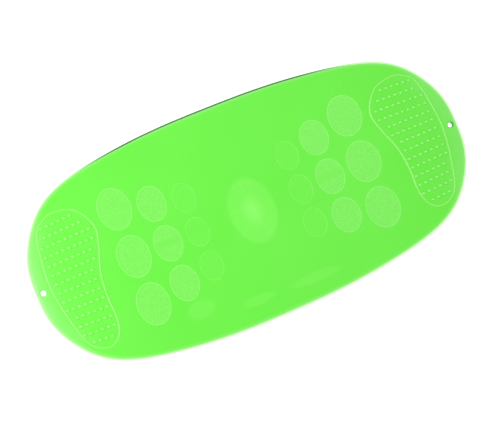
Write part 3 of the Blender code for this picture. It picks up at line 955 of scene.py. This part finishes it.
@dataclass(frozen=True)
class MouldedShellAbs(Finish):
    """Green ABS of the rocker shell, a little less polished than the deck.

    The eye sees a satin green with faint rub marks where the belly rolls on the floor. Its rim is
    painted paler and glows a little, painted light for light coming through the plastic at the
    edge. Along the toe side the rim carries painted shade instead.
    """

    colour: str = "#58DA2C"
    # painted light on the rim, as a paler colour and a glow, and painted shade on the rim along the
    # toe side
    rim_light: str = "#A9F092"
    scuffed: str = "#79D75A"
    shaded: str = "#3F7A33"
    light_through: float = 0.35
    rolled_from: Plan = (0.030, 0.110)   # from the middle: full wear, and none
    rolled_share: float = 0.55
    stroke_width: float = 0.012
    stroke_stretch: float = 9.0
    toe_side: Plan = (0.125, 0.145)      # across the board: where the rim's painted shade begins

    def build(self) -> bpy.types.Material:
        """Make the material.

        Returns:
            The material.
        """
        material, tree, shader = self.shader()
        place = add_node(tree, "ShaderNodeTexCoord").outputs["Object"]
        rim = add_node(tree, "ShaderNodeAttribute", attribute_name=RIM).outputs["Fac"]
        flat = add_node(tree, "ShaderNodeMapping", {"Vector": place, "Scale": (1.0, 1.0, 0.0)})
        far = add_node(tree, "ShaderNodeVectorMath", {0: flat}, operation="LENGTH")
        rolled = add_node(tree, RANGE,
                          {"Value": far, "From Min": self.rolled_from[0],
                           "From Max": self.rolled_from[1], "To Min": self.rolled_share,
                           "To Max": 0.0}, interpolation_type="SMOOTHSTEP")
        strokes = add_node(tree, "ShaderNodeMapping",
                           {"Vector": place, "Rotation": (0.0, 0.0, 0.5),
                            "Scale": (1.0, self.stroke_stretch, 1.0)})
        marks = add_node(tree, NOISE, {"Vector": strokes, "Scale": 1 / self.stroke_width,
                                       "Detail": 4.0})
        rubbed_and_highlight = add_node(tree, RANGE, {"Value": marks, "From Min": 0.52, "From Max": 0.62})
        wear = add_node(tree, MATH, {0: rolled, 1: rubbed_and_highlight}, operation="MULTIPLY")
        worn_and_painted_light = add_node(tree, MIX, {0: wear, 6: linear(self.colour), 7: linear(self.scuffed)},
                        data_type="RGBA")
        # painted shade on the rim along the toe side, painted light on the rest of it
        across = add_node(tree, "ShaderNodeSeparateXYZ", {0: place}).outputs["Y"]
        lit = add_node(tree, RANGE,
                       {"Value": across, "From Min": self.toe_side[0],
                        "From Max": self.toe_side[1], "To Min": 1.0, "To Max": 0.0},
                       interpolation_type="SMOOTHSTEP")
        edge = add_node(tree, MIX, {0: lit, 6: linear(self.shaded), 7: linear(self.rim_light)},
                        data_type="RGBA")
        edged = add_node(tree, MIX, {0: rim, 6: worn_and_painted_light, 7: edge}, data_type="RGBA")
        tree.links.new(edged.outputs[2], shader.inputs["Base Color"])
        # painted light: the rim glows, except along the toe side
        share = add_node(tree, MATH, {0: rim, 1: lit}, operation="MULTIPLY")
        through = add_node(tree, MIX, {0: share, 6: (0.0, 0.0, 0.0, 1.0), 7: linear(self.rim_light)},
                           data_type="RGBA")
        tree.links.new(through.outputs[2], shader.inputs["Emission Color"])
        shader.inputs["Emission Strength"].default_value = self.light_through
        # cavity skin of about 0.6 mm, drawn at 1.6 mm so that it shows
        skin = add_node(tree, NOISE, {"Vector": place, "Scale": 1 / 0.0016, "Detail": 3.0})
        peel = add_node(tree, "ShaderNodeBump",
                        {"Strength": 0.15, "Distance": 0.0001, "Height": skin})
        tree.links.new(peel.outputs[0], shader.inputs["Normal"])
        return material


@dataclass(frozen=True)
class ZincPlate(Finish):
    """Steel screws with bright zinc plate.

    The eye sees a cool grey metal with a slightly cloudy shine.
    """

    colour: str = "#C9CCD0"
    cloudy: str = "#B4B8BE"

    def build(self) -> bpy.types.Material:
        """Make the material.

        Returns:
            The material.
        """
        material, tree, shader = self.shader()
        shader.inputs["Metallic"].default_value = 1.0
        place = add_node(tree, "ShaderNodeTexCoord").outputs["Object"]
        # the plate's crystals lie in clouds of about 1.5 mm
        plate = add_node(tree, NOISE, {"Vector": place, "Scale": 1 / 0.0015, "Detail": 3.0})
        cloud = add_node(tree, RANGE, {"Value": plate, "From Min": 0.3, "From Max": 0.7})
        tone = add_node(tree, MIX, {0: cloud, 6: linear(self.colour), 7: linear(self.cloudy)},
                        data_type="RGBA")
        tree.links.new(tone.outputs[2], shader.inputs["Base Color"])
        dull = add_node(tree, RANGE, {"Value": cloud, "To Min": self.roughness,
                                      "To Max": self.roughness + 0.12})
        tree.links.new(dull.outputs[0], shader.inputs["Roughness"])
        return material


@dataclass(frozen=True)
class PaleFloor(Finish):
    """White studio table that glows a little, and is clear from beneath."""

    colour: str = "#FAFAFA"
    glow: float = 0.55

    def build(self) -> bpy.types.Material:
        """Make the material.

        Returns:
            The material.
        """
        material, tree, shader = self.shader()
        shader.inputs["Base Color"].default_value = linear(self.colour)
        shader.inputs["Emission Color"].default_value = linear("#FFFFFF")
        shader.inputs["Emission Strength"].default_value = self.glow
        beneath = add_node(tree, "ShaderNodeNewGeometry").outputs["Backfacing"]
        clear = add_node(tree, "ShaderNodeBsdfTransparent")
        both = add_node(tree, "ShaderNodeMixShader", {0: beneath, 1: shader, 2: clear})
        tree.links.new(both.outputs[0], tree.nodes["Material Output"].inputs["Surface"])
        return material


# ---------------------------------------------------------------- standing deck
@dataclass
class HangingHoles:
    """Holes at both ends by which the board is hung up."""

    form: BoardForm
    radius: float = 0.00375
    end_inset: float = 0.0099
    softened: float = 0.0005
    walls_down: float = 3.0      # reach of the cutter below the deck, in edge depths
    sides: int = 40

    def cutter(self, top_offset: float) -> bpy.types.Object:
        """Cutter for both holes.

        Args:
            top_offset: Height of the cut surface above the deck's upper face.

        Returns:
            Closed cutter whose upper part flares into a small round.
        """
        reach = self.form.half_length - self.end_inset
        top = self.form.deck_top(reach) + top_offset
        bottom, above = top - self.walls_down * self.form.edge_depth, top + self.form.edge_depth
        soft, bend, wide = self.softened, 0.3 * self.softened, self.radius + 2 * self.softened
        profile = [(0.0, bottom), (self.radius, bottom), (self.radius, top - soft),
                   (self.radius + bend, top - bend), (self.radius + soft, top),
                   (wide, top + soft), (wide, above), (0.0, above)]
        body = merged(turned(profile, self.sides, (side.value * reach, 0.0, 0.0))
                      for side in Side)
        return closed_object("hanging_hole_cutter", body)


@dataclass
class StandingDeck:
    """Dished sheet that the user stands on, with a rounded edge and two hanging holes."""

    form: BoardForm
    inset: float = 0.0022        # lip and groove outside the deck's edge
    edge_round: float = 0.0006
    round_steps: int = 4
    shares: int = 22
    edge_shares: Sequence[float] = (0.15, 0.30, 0.45, 0.58, 0.70, 0.80, 0.88, 0.95)
    # painted light: how far the deck's edge and ends are painted paler
    rim_light_width: float = 0.0050   # how far the light from the edge reaches strongly
    glow_width: float = 0.0240   # and how far it reaches at all, at the board's ends
    glow_share: float = 0.34
    glow_from: float = 0.86      # share of the half length where the end's glow begins
    glow_run: float = 0.08       # share over which it comes to its full strength
    glow_plateau: float = 1.6    # above 1 it keeps its strength near the edge
    rim_light_power: float = 1.3

    def rim_light_share(self, point: Plan, edge: Plan) -> float:
        """How much painted light from the rim a place takes.

        Args:
            point: Place on the deck.
            edge: The nearest place on the deck's edge.

        Returns:
            1 at the edge, 0 well inside it.
        """
        away = math.dist(point, edge)
        near = max(0.0, 1 - away / self.rim_light_width) ** self.rim_light_power
        beyond = abs(edge[0]) / self.form.half_length - self.glow_from
        end = min(1.0, max(0.0, beyond / self.glow_run))
        fade = min(1.0, max(0.0, self.glow_plateau * (1 - away / self.glow_width)))
        return near + (1 - near) * self.glow_share * end * fade

    def skin(self) -> bpy.types.Mesh:
        """Closed skin of the deck on a flat board, with its painted rim light marked.

        Returns:
            The skin.
        """
        form = self.form
        angles = form.angles()
        edge = form.outline(angles, self.inset)
        rings, rim = [], []

        def ring(points: Sequence[Plan], height: float) -> None:
            """Add a ring, and how much painted rim light it takes."""
            rings.append([(x, y, height) for x, y in points])
            rim.extend(self.rim_light_share(point, limit) for point, limit in zip(points, edge))

        levels = [(k + 1) / self.shares for k in range(self.shares)]
        for share in levels:
            ring(form.pocket(angles, share), 0.0)
        start, stop = form.pocket(angles, 1.0), form.outline(angles, self.inset + self.edge_round)
        for share in self.edge_shares:
            ring([(x0 + (x1 - x0) * share, y0 + (y1 - y0) * share)
                  for (x0, y0), (x1, y1) in zip(start, stop)], 0.0)
        for inset, drop in quarter(self.edge_round, self.round_steps):
            ring(form.outline(angles, self.inset + inset), -drop)
        ring(edge, -form.deck_wall)
        for share in reversed(levels[1::2]):
            ring(form.pocket(angles, share), -form.deck_wall)
        body = loft(rings, (0.0, 0.0, 0.0), (0.0, 0.0, -form.deck_wall))
        mesh = mesh_from("standing_deck", body)
        mesh.attributes.new(RIM, "FLOAT", "POINT").data.foreach_set("value", rim + [0.0, 0.0])
        return mesh

    def build(self, trees: Trees, finish: bpy.types.Material) -> bpy.types.Object:
        """Build and dress the deck.

        Args:
            trees: Geometry Nodes trees.
            finish: Material of the deck.

        Returns:
            The piece.
        """
        deck = trees.grow("standing_deck", self.skin(), trees.skin,
                          {**self.form.rise_inputs(), "Material": finish})
        cut(deck, HangingHoles(self.form).cutter(0.0))
        smooth(deck)
        return hand_over(deck, Slot.DECK, "top_deck")


# ---------------------------------------------------------------- foot pads
@dataclass
class FootPads:
    """Raised outlines of two soles, filled with blunt massage bumps."""

    form: BoardForm
    end_inset: float = 0.0632
    side_margin: float = 0.0553
    width: float = 0.0860
    line_steps: int = 8
    trial_steps: int = 3         # coarser outline that decides where bumps fit
    bead_steps: int = 16
    bead_half_width: float = 0.0015
    bead_height: float = 0.0007
    sink: float = 0.0003
    pitch_across: float = 0.0082
    pitch_inner: float = 0.01305
    pitch_outer: float = 0.01240
    columns: int = 9
    rows_tried: int = 28
    margin: float = 0.0034
    shift_across: float = 0.0001
    shift_along: float = -0.0023
    bump_height: float = 0.0011
    foot_radius: float = 0.0036
    top_radius: float = 0.0026
    bump_sides: int = 12
    bump_steps: int = 7
    sharp_angle: float = 60.0

    # one pad in halves of its width (outward +) and of its length (toe +)
    OUTLINE: ClassVar[Profile] = (
        (0.00, 0.96), (-0.57, 0.88), (-0.95, 0.60), (-0.84, 0.31), (-0.59, -0.02),
        (-0.50, -0.36), (-0.51, -0.70), (-0.34, -0.93), (0.06, -1.01), (0.54, -0.87),
        (0.80, -0.50), (0.97, -0.04), (0.93, 0.37), (0.76, 0.76), (0.40, 0.92))

    def line(self, side: Side, steps: int) -> list[Plan]:
        """Plan points of one pad's outline, a closed smooth curve.

        Args:
            side: End of the board.
            steps: Points for each point of OUTLINE.

        Returns:
            The points, in order round the pad.
        """
        middle = self.form.half_length - self.end_inset
        long = self.form.half_width - self.side_margin
        points = [(side.value * (middle + across * self.width / 2), along * long)
                  for across, along in self.OUTLINE]
        count = len(points)
        # Catmull-Rom curve through every start and end
        loop = []
        for index in range(count):
            before, start, end, after = (points[(index + k) % count] for k in (-1, 0, 1, 2))
            for step in range(steps):
                t = step / steps
                loop.append(tuple(
                    0.5 * (2 * b + (c - a) * t + (2 * a - 5 * b + 4 * c - d) * t ** 2
                           + (3 * b - a - 3 * c + d) * t ** 3)
                    for a, b, c, d in zip(before, start, end, after)))
        return loop

    @staticmethod
    def depth_inside(x: float, y: float, loop: Sequence[Plan]) -> float:
        """Distance from a point to a closed loop.

        Args:
            x: Place along the board.
            y: Place across it.
            loop: Points of the loop.

        Returns:
            The distance to the nearest side, negative outside the loop.
        """
        nearest, inside = math.inf, False
        for (x0, y0), (x1, y1) in zip(loop, [*loop[1:], loop[0]]):
            run, rise = x1 - x0, y1 - y0
            share = ((x - x0) * run + (y - y0) * rise) / (run * run + rise * rise)
            share = min(max(share, 0.0), 1.0)
            nearest = min(nearest, math.hypot(x - x0 - share * run, y - y0 - share * rise))
            if (y0 > y) != (y1 > y) and x < x0 + run * (y - y0) / rise:
                inside = not inside
        return nearest if inside else -nearest

    def bump_places(self) -> list[Plan]:
        """Plan points of every bump on both pads.

        Returns:
            The places of a staggered grid that lie far enough inside a pad.
        """
        places = []
        for side in Side:
            loop = self.line(side, self.trial_steps)
            for column in range(self.columns):
                outward = column / (self.columns - 1)
                pitch = self.pitch_inner + (self.pitch_outer - self.pitch_inner) * outward
                offset = (column - (self.columns - 1) / 2) * self.pitch_across + self.shift_across
                x = side.value * (self.form.half_length - self.end_inset + offset)
                for row in range(self.rows_tried):
                    y = self.shift_along + ((self.rows_tried - 1) / 2 - row) * pitch
                    if self.depth_inside(x, y, loop) >= self.margin:
                        places.append((x, y))
        return places

    def build(self, trees: Trees, finish: bpy.types.Material) -> None:
        """Build and dress the outlines and the bumps.

        Args:
            trees: Geometry Nodes trees.
            finish: Material of the deck.
        """
        rise = self.form.rise_inputs()
        lines = bmesh.new()
        for side in Side:
            verts = [lines.verts.new((x, y, 0.0)) for x, y in self.line(side, self.line_steps)]
            for k, vert in enumerate(verts):
                lines.edges.new((vert, verts[(k + 1) % len(verts)]))
        beads = trees.grow("pad_outlines", mesh_from("pad_outlines", lines, solid=False),
                           trees.bead,
                           {**rise, "Half Width": self.bead_half_width,
                            "Height": self.bead_height, "Sink": self.sink,
                            "Steps": self.bead_steps, "Material": finish})
        outward(beads)
        smooth(beads, self.sharp_angle)
        hand_over(beads, Slot.DECK, "top_deck")

        points = bmesh.new()
        for x, y in self.bump_places():
            points.verts.new((x, y, 0.0))
        bumps = trees.grow("massage_bumps", mesh_from("massage_bumps", points, solid=False),
                           trees.bumps,
                           {**rise, "Foot Radius": self.foot_radius,
                            "Top Radius": self.top_radius, "Height": self.bump_height,
                            "Sink": self.sink, "Sides": self.bump_sides,
                            "Steps": self.bump_steps, "Material": finish})
        outward(bumps)
        smooth(bumps, self.sharp_angle)
        hand_over(bumps, Slot.DECK, "top_deck")


# ---------------------------------------------------------------- discs
@dataclass(frozen=True)
class DiscColumn:
    """Three equal discs side by side across the board."""

    from_middle: float
    pitch: float
    half_along: float
    half_across: float
    shift_across: float = 0.0

    def places(self) -> list[Plan]:
        """Plan points of the discs' middles at both ends of the board."""
        return [(side.value * self.from_middle, self.shift_across + row * self.pitch)
                for side in Side for row in (-1, 0, 1)]


@dataclass
class TextureDiscs:
    """Oval patches of spark-eroded texture with a fine raised rim."""

    form: BoardForm
    name: str
    columns: Sequence[DiscColumn]
    height: float = 0.00012
    rim_height: float = 0.00022
    sink: float = 0.0003
    sides: int = 72
    rings: int = 9               # rings of the flat top
    sharp_angle: float = 50.0
    # radii of the raised rim, on a disc of radius 1: its outer and inner edge, and its foot
    RIM_RADII: ClassVar[Sequence[float]] = (0.990, 0.970, 0.945)

    def part(self) -> bpy.types.Object:
        """One disc of radius 1, with its real height.

        Returns:
            Closed body with its rim marked for a painted highlight.
        """
        top, rim = self.height, self.rim_height
        outer, inner, foot = self.RIM_RADII
        profile = [(0.0, -self.sink), (0.5, -self.sink), (1.0, -self.sink), (1.0, 0.5 * top),
                   (outer, rim), (inner, rim)]
        profile += [(foot * k / self.rings, top) for k in range(self.rings, 0, -1)]
        profile += [(0.0, top)]
        mesh = mesh_from("disc_part", turned(profile, self.sides))
        # the raised rim takes the painted highlight
        raised = [1.0 if height == rim else 0.0 for _, height in profile[1:-1]]
        spread = [value for value in raised for _ in range(self.sides)] + [0.0, 0.0]
        mesh.attributes.new(PAINTED_LIGHT_AND_SHADE, "FLOAT", "POINT").data.foreach_set("value", spread)
        return link_object("disc_part", mesh)

    def build(self, trees: Trees, finish: bpy.types.Material) -> bpy.types.Object:
        """Build and dress the discs.

        Args:
            trees: Geometry Nodes trees.
            finish: Material of the discs.

        Returns:
            The piece.
        """
        places, sizes = [], []
        for column in self.columns:
            for place in column.places():
                places.append(place)
                sizes.append((column.half_along, column.half_across, 1.0))
        seed = bpy.data.meshes.new(self.name)
        seed.from_pydata([(x, y, 0.0) for x, y in places], [], [])
        scale = seed.attributes.new(SIZE, "FLOAT_VECTOR", "POINT")
        for item, size in zip(scale.data, sizes):
            item.vector = size
        part = self.part()
        discs = trees.grow(self.name, seed, trees.repeat,
                           {**self.form.rise_inputs(), "Part": part, "Material": finish})
        bpy.data.objects.remove(part, do_unlink=True)
        smooth(discs, self.sharp_angle)
        return hand_over(discs, Slot.DECK, "top_deck")


# ---------------------------------------------------------------- rocker shell
@dataclass
class RockerShell:
    """Tray under the deck: an upstanding lip, a rolling belly and a flat disc to stand on."""

    form: BoardForm
    lip_width: float = 0.00212
    lip_drop: float = 0.0003
    lip_round: float = 0.0009
    lip_steps: int = 4
    inner_round: float = 0.0003
    inner_steps: int = 3
    under_round: float = 0.0022
    under_steps: int = 5
    contact_radius: float = 0.045
    contact_chamfer: float = 0.0020
    contact_lead: float = 1.12   # last ring of the belly, as a share of the disc's foot
    well_radius: float = 0.0043
    well_flare: float = 0.0012
    well_sides: int = 32
    head_recess: float = 0.0026
    hole_softened: float = 0.0001
    seat_light: float = 0.30     # share of the rim's painted light on the seat by the lip
    under_light: float = 0.35    # and on the round below it
    floor_shares: Sequence[float] = (0.15, 0.3, 0.45, 0.6, 0.72, 0.82, 0.9, 0.96)
    belly_shares: Sequence[float] = (0.975, 0.95, 0.92, 0.88, 0.84, 0.79, 0.74, 0.68, 0.62, 0.56,
                                     0.50, 0.45)

    def skin(self) -> bpy.types.Mesh:
        """Closed skin of the shell on a flat board, with its painted rim light and its rise marked.

        Returns:
            The skin.
        """
        form = self.form
        angles = form.angles()
        rings, follows, rim = [], [], []

        def ring(points: list[Point], ride: float = 1.0, edge: float = 0.0) -> None:
            """Add a ring, how far it follows the deck's curve, and how much painted rim light it
            takes.
            """
            rings.append(points)
            follows.append(ride)
            rim.append(edge)

        for share in self.floor_shares:
            ring([(x, y, form.shell_wall - form.belly(x, y))
                  for x, y in form.pocket(angles, share)])
        seat = -form.deck_wall - form.seat_gap
        ring([(x, y, seat) for x, y in form.pocket(angles, 1.0)])
        ring([(x, y, seat) for x, y in form.outline(angles, self.lip_width)],
             edge=self.seat_light)
        for inset, drop in reversed(quarter(self.inner_round, self.inner_steps)):
            ring([(x, y, -self.lip_drop - drop)
                  for x, y in form.outline(angles, self.lip_width - inset)], edge=1.0)
        for inset, drop in quarter(self.lip_round, self.lip_steps):
            ring([(x, y, -self.lip_drop - drop) for x, y in form.outline(angles, inset)],
                 edge=1.0)
        for inset, drop in reversed(quarter(self.under_round, self.under_steps)):
            ring([(x, y, drop - form.edge_depth) for x, y in form.outline(angles, inset)],
                 edge=self.under_light)
        for share in (1.0, *self.belly_shares):
            ring([(x, y, -form.belly(x, y)) for x, y in form.pocket(angles, share)])
        wide = self.contact_radius + self.contact_chamfer
        for radius in (self.contact_lead * wide, wide):
            ring([(x, y, -form.belly(x, y)) for x, y in self._circle(angles, radius)])
        for radius in (self.contact_radius, self.contact_radius / 2):
            ring([(x, y, 0.0) for x, y in self._circle(angles, radius)], ride=0.0)

        top = form.shell_wall - form.belly(0.0, 0.0)
        mesh = mesh_from("rocker_shell", loft(rings, (0.0, 0.0, top), (0.0, 0.0, 0.0)))
        count = len(angles)
        spread = {FOLLOWS: [value for value in follows for _ in range(count)] + [1.0, 0.0],
                  RIM: [value for value in rim for _ in range(count)] + [0.0, 0.0]}
        for name, values in spread.items():
            mesh.attributes.new(name, "FLOAT", "POINT").data.foreach_set("value", values)
        return mesh

    @staticmethod
    def _circle(angles: Sequence[float], radius: float) -> list[Plan]:
        """Points of a circle at the outline's own headings."""
        return [(radius * math.cos(angle), radius * math.sin(angle)) for angle in angles]

    def wells(self) -> bpy.types.Object:
        """Cutter for the wells that the screws' heads lie in.

        Returns:
            Closed cutters with flared mouths, in one object.
        """
        bodies = []
        radius, wide = self.well_radius, self.well_radius + self.well_flare
        for x, y in self.form.screw_places():
            under = self.form.deck_top(x) - self.form.belly(x, y)
            low, high = under - self.form.edge_depth, under + self.head_recess
            profile = [(0.0, low), (wide, low), (wide, under - 0.0008),
                       (radius + 0.0002, under + 0.0002), (radius, under + 0.0005),
                       (radius, high), (0.0, high)]
            bodies.append(turned(profile, self.well_sides, (x, y, 0.0)))
        return closed_object("well_cutter", merged(bodies))

    def build(self, trees: Trees, finish: bpy.types.Material) -> bpy.types.Object:
        """Build and dress the shell.

        Args:
            trees: Geometry Nodes trees.
            finish: Material of the shell.

        Returns:
            The piece.
        """
        shell = trees.grow("rocker_shell", self.skin(), trees.skin,
                           {**self.form.rise_inputs(), "Material": finish})
        holes = HangingHoles(self.form, softened=self.hole_softened)
        cut(shell, holes.cutter(-self.form.deck_wall))
        cut(shell, self.wells())
        smooth(shell)
        return hand_over(shell, Slot.SHELL, "bottom_shell")


# ---------------------------------------------------------------- screws
@dataclass
class ShellScrews:
    """Self-tapping screws with a round head and a cross recess, heads down."""

    form: BoardForm
    head_radius: float = 0.0036
    head_height: float = 0.0019
    shank_radius: float = 0.0014
    head_recess: float = 0.0026
    skin_over_screw: float = 0.0014
    tip_gap: float = 0.0006
    recess_depth: float = 0.0011
    cross_mouth: Plan = (0.0042, 0.0010)   # length and width of one bar of the cross, outside
    cross_floor: Plan = (0.0016, 0.0005)   # and at its floor
    thread_start: float = 0.0010
    thread_pitch: float = 0.0012
    thread_half: float = 0.0003            # from a thread's root to its crest
    core_share: float = 0.80               # the root's radius as a share of the crest's
    tip_length: float = 0.0016
    sides: int = 28
    sharp_angle: float = 30.0
    # the head's edge from its face: share of the head's radius, and height above the face
    HEAD_EDGE: ClassVar[Profile] = ((0.60, 0.0), (0.86, 0.0003), (0.97, 0.0008), (1.0, 0.0015))

    def part(self, length: float) -> bpy.types.Object:
        """One screw with its head's seat at height 0 and its point up.

        Args:
            length: From the head's seat to the point.

        Returns:
            Closed body.
        """
        face, shank = -self.head_height, self.shank_radius
        core = self.core_share * shank
        profile = [(0.0, face)]
        profile += [(share * self.head_radius, face + height) for share, height in self.HEAD_EDGE]
        profile += [(self.head_radius, 0.0), (shank, 0.0)]
        height = self.thread_start
        while height < length - self.tip_length - self.thread_start:
            profile += [(core, height), (shank, height + self.thread_half),
                        (core, height + 2 * self.thread_half)]
            height += self.thread_pitch
        profile += [(core, length - self.tip_length), (0.25 * shank, length - 0.0002),
                    (0.0, length)]
        item = closed_object("screw_part", turned(profile, self.sides))
        cross = bmesh.new()
        for turn in (0.0, math.pi / 2):
            made = bmesh.ops.create_cube(cross, size=1.0)["verts"]
            for vert in made:
                deep = vert.co.z > 0
                long, wide = self.cross_floor if deep else self.cross_mouth
                vert.co = Vector((vert.co.x * long, vert.co.y * wide,
                                  face + self.recess_depth if deep else face - 0.0005))
            bmesh.ops.rotate(cross, verts=made, cent=(0, 0, 0),
                             matrix=Matrix.Rotation(turn, 3, "Z"))
        return cut(item, closed_object("cross_cutter", cross))

    def build(self, trees: Trees, finish: bpy.types.Material) -> None:
        """Build and dress the screws, each one a piece.

        Args:
            trees: Geometry Nodes trees.
            finish: Material of the screws.
        """
        for number, (x, y) in enumerate(self.form.screw_places(), start=1):
            seat = (self.form.deck_top(x) - self.form.belly(x, y) + self.head_recess
                    - self.form.seat_gap)
            tip = self.form.deck_top(x) - self.skin_over_screw - self.tip_gap
            part = self.part(tip - seat)
            name = f"shell_screw_{number}"
            seed = bpy.data.meshes.new(name)
            seed.from_pydata([(x, y, seat)], [], [])
            seed.attributes.new(SIZE, "FLOAT_VECTOR", "POINT").data[0].vector = (1.0, 1.0, 1.0)
            seed.attributes.new(FOLLOWS, "FLOAT", "POINT").data[0].value = 0.0
            screw = trees.grow(name, seed, trees.repeat,
                               {**self.form.rise_inputs(), "Part": part, "Material": finish})
            bpy.data.objects.remove(part, do_unlink=True)
            smooth(screw, self.sharp_angle)
            hand_over(screw, Slot.SCREW, f"screw_{number}")


# ---------------------------------------------------------------- studio
@dataclass
class StudioSet:
    """White table, soft light that is strongest from one side, and the camera."""

    target: Point = (-0.0106, -0.0090, 0.020)
    heading: float = 190.3       # degrees, the way the camera leans from upright
    lean: float = 9.2
    roll: float = 22.58
    distance: float = 1.5
    lens: float = 80.8           # millimetres, on a sensor of this width:
    sensor_width: float = 36.0
    table_half: float = 3.0
    table_gap: float = 0.0001    # below the disc that the board stands on
    brightest: Point = (0.50, -0.06, 0.86)   # the way to where the soft light is strongest
    horizon: float = 0.30        # its strength square to that way and below,
    zenith: float = 0.98         # and from there
    key_place: Point = (-0.65, 0.20, 1.0)
    key_size: float = 0.9
    key_watts: float = 10.0

    def lay_table(self) -> None:
        """Make the floor."""
        half = self.table_half
        mesh = bpy.data.meshes.new("table")
        low = -self.table_gap
        mesh.from_pydata([(-half, -half, low), (half, -half, low), (half, half, low),
                          (-half, half, low)], [], [(0, 1, 2, 3)])
        mesh.materials.append(PaleFloor("white_table", 0.9, 1.45).build())
        link_object("table", mesh)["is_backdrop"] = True

    def hang_lights(self) -> None:
        """Make the world's soft light, which has a bright side, and the key lamp."""
        world = bpy.data.worlds.new("studio")
        bpy.context.scene.world = world
        world.use_nodes = True
        tree = world.node_tree
        heading = add_node(tree, "ShaderNodeTexCoord").outputs["Generated"]
        nearness = add_node(tree, "ShaderNodeVectorMath", {0: heading, 1: self.brightest},
                            operation="DOT_PRODUCT")
        glow = add_node(tree, RANGE, {"Value": nearness.outputs["Value"],
                                      "To Min": self.horizon, "To Max": self.zenith})
        tree.links.new(glow.outputs[0], tree.nodes["Background"].inputs["Strength"])
        tree.nodes["Background"].inputs["Color"].default_value = (1.0, 1.0, 1.0, 1.0)
        lamp = bpy.data.lights.new("key", "AREA")
        lamp.size = self.key_size
        lamp.energy = self.key_watts
        key = bpy.data.objects.new("key", lamp)
        key.location = self.key_place
        key.rotation_mode = "QUATERNION"
        key.rotation_quaternion = Vector(self.key_place).to_track_quat("Z", "Y")
        bpy.context.scene.collection.objects.link(key)

    def set_camera(self) -> None:
        """Make the camera and look through it."""
        lean, heading = math.radians(self.lean), math.radians(self.heading)
        back = Vector((math.sin(lean) * math.cos(heading), math.sin(lean) * math.sin(heading),
                       math.cos(lean)))
        level = (Vector((1.0, 0.0, 0.0)) - back * back.x).normalized()
        upward = back.cross(level)
        roll = math.radians(self.roll)
        right = math.cos(roll) * level - math.sin(roll) * upward
        up = math.sin(roll) * level + math.cos(roll) * upward
        lens = bpy.data.cameras.new("camera")
        lens.lens = self.lens
        lens.sensor_width = self.sensor_width
        camera = bpy.data.objects.new("camera", lens)
        turn = Matrix((right, up, back)).transposed().to_4x4()
        camera.matrix_world = Matrix.Translation(Vector(self.target) + self.distance * back) @ turn
        bpy.context.scene.collection.objects.link(camera)
        bpy.context.scene.camera = camera

    def build(self) -> None:
        """Make the whole set."""
        bpy.context.scene.view_settings.view_transform = "Standard"
        self.lay_table()
        self.hang_lights()
        self.set_camera()


# ---------------------------------------------------------------- all together
def main() -> None:
    """Build the board piece by piece, then the studio round it."""
    logging.basicConfig(level=logging.INFO, format="%(name)s: %(message)s")
    high = CAD_BOX[1]
    form = BoardForm(half_length=high.x, half_width=high.y)
    trees = Trees()
    deck = MouldedDeckAbs("polished_deck_abs", 0.24, 1.53).build()
    StandingDeck(form).build(trees, deck)
    FootPads(form).build(trees, deck)
    coarse = SparkErodedAbs("spark_eroded_abs", 0.50, 1.53).build()
    # edge and smooth are the painted rim highlight and the painted reflection band
    faint = SparkErodedAbs("lightly_eroded_abs", 0.36, 1.53, pale="#68E63C", dark="#5FE132",
                           edge="#7AEA54", smooth="#62E335").build()
    outer = DiscColumn(from_middle=0.1704, pitch=0.0681, half_along=0.0229, half_across=0.0295)
    middle = DiscColumn(from_middle=0.1209, pitch=0.0577, half_along=0.0198,
                        half_across=0.0253, shift_across=-0.0010)
    inner = DiscColumn(from_middle=0.0774, pitch=0.0499, half_along=0.0162,
                       half_across=0.0211, shift_across=-0.0016)
    TextureDiscs(form, "speckled_discs", (outer, middle)).build(trees, coarse)
    TextureDiscs(form, "faint_discs", (inner,)).build(trees, faint)
    shell = MouldedShellAbs("satin_shell_abs", 0.34, 1.53).build()
    RockerShell(form).build(trees, shell)
    ShellScrews(form).build(trees, ZincPlate("zinc_plated_steel", 0.26, 1.5).build())
    StudioSet().build()
    low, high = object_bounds()


if __name__ == "__main__":
    main()
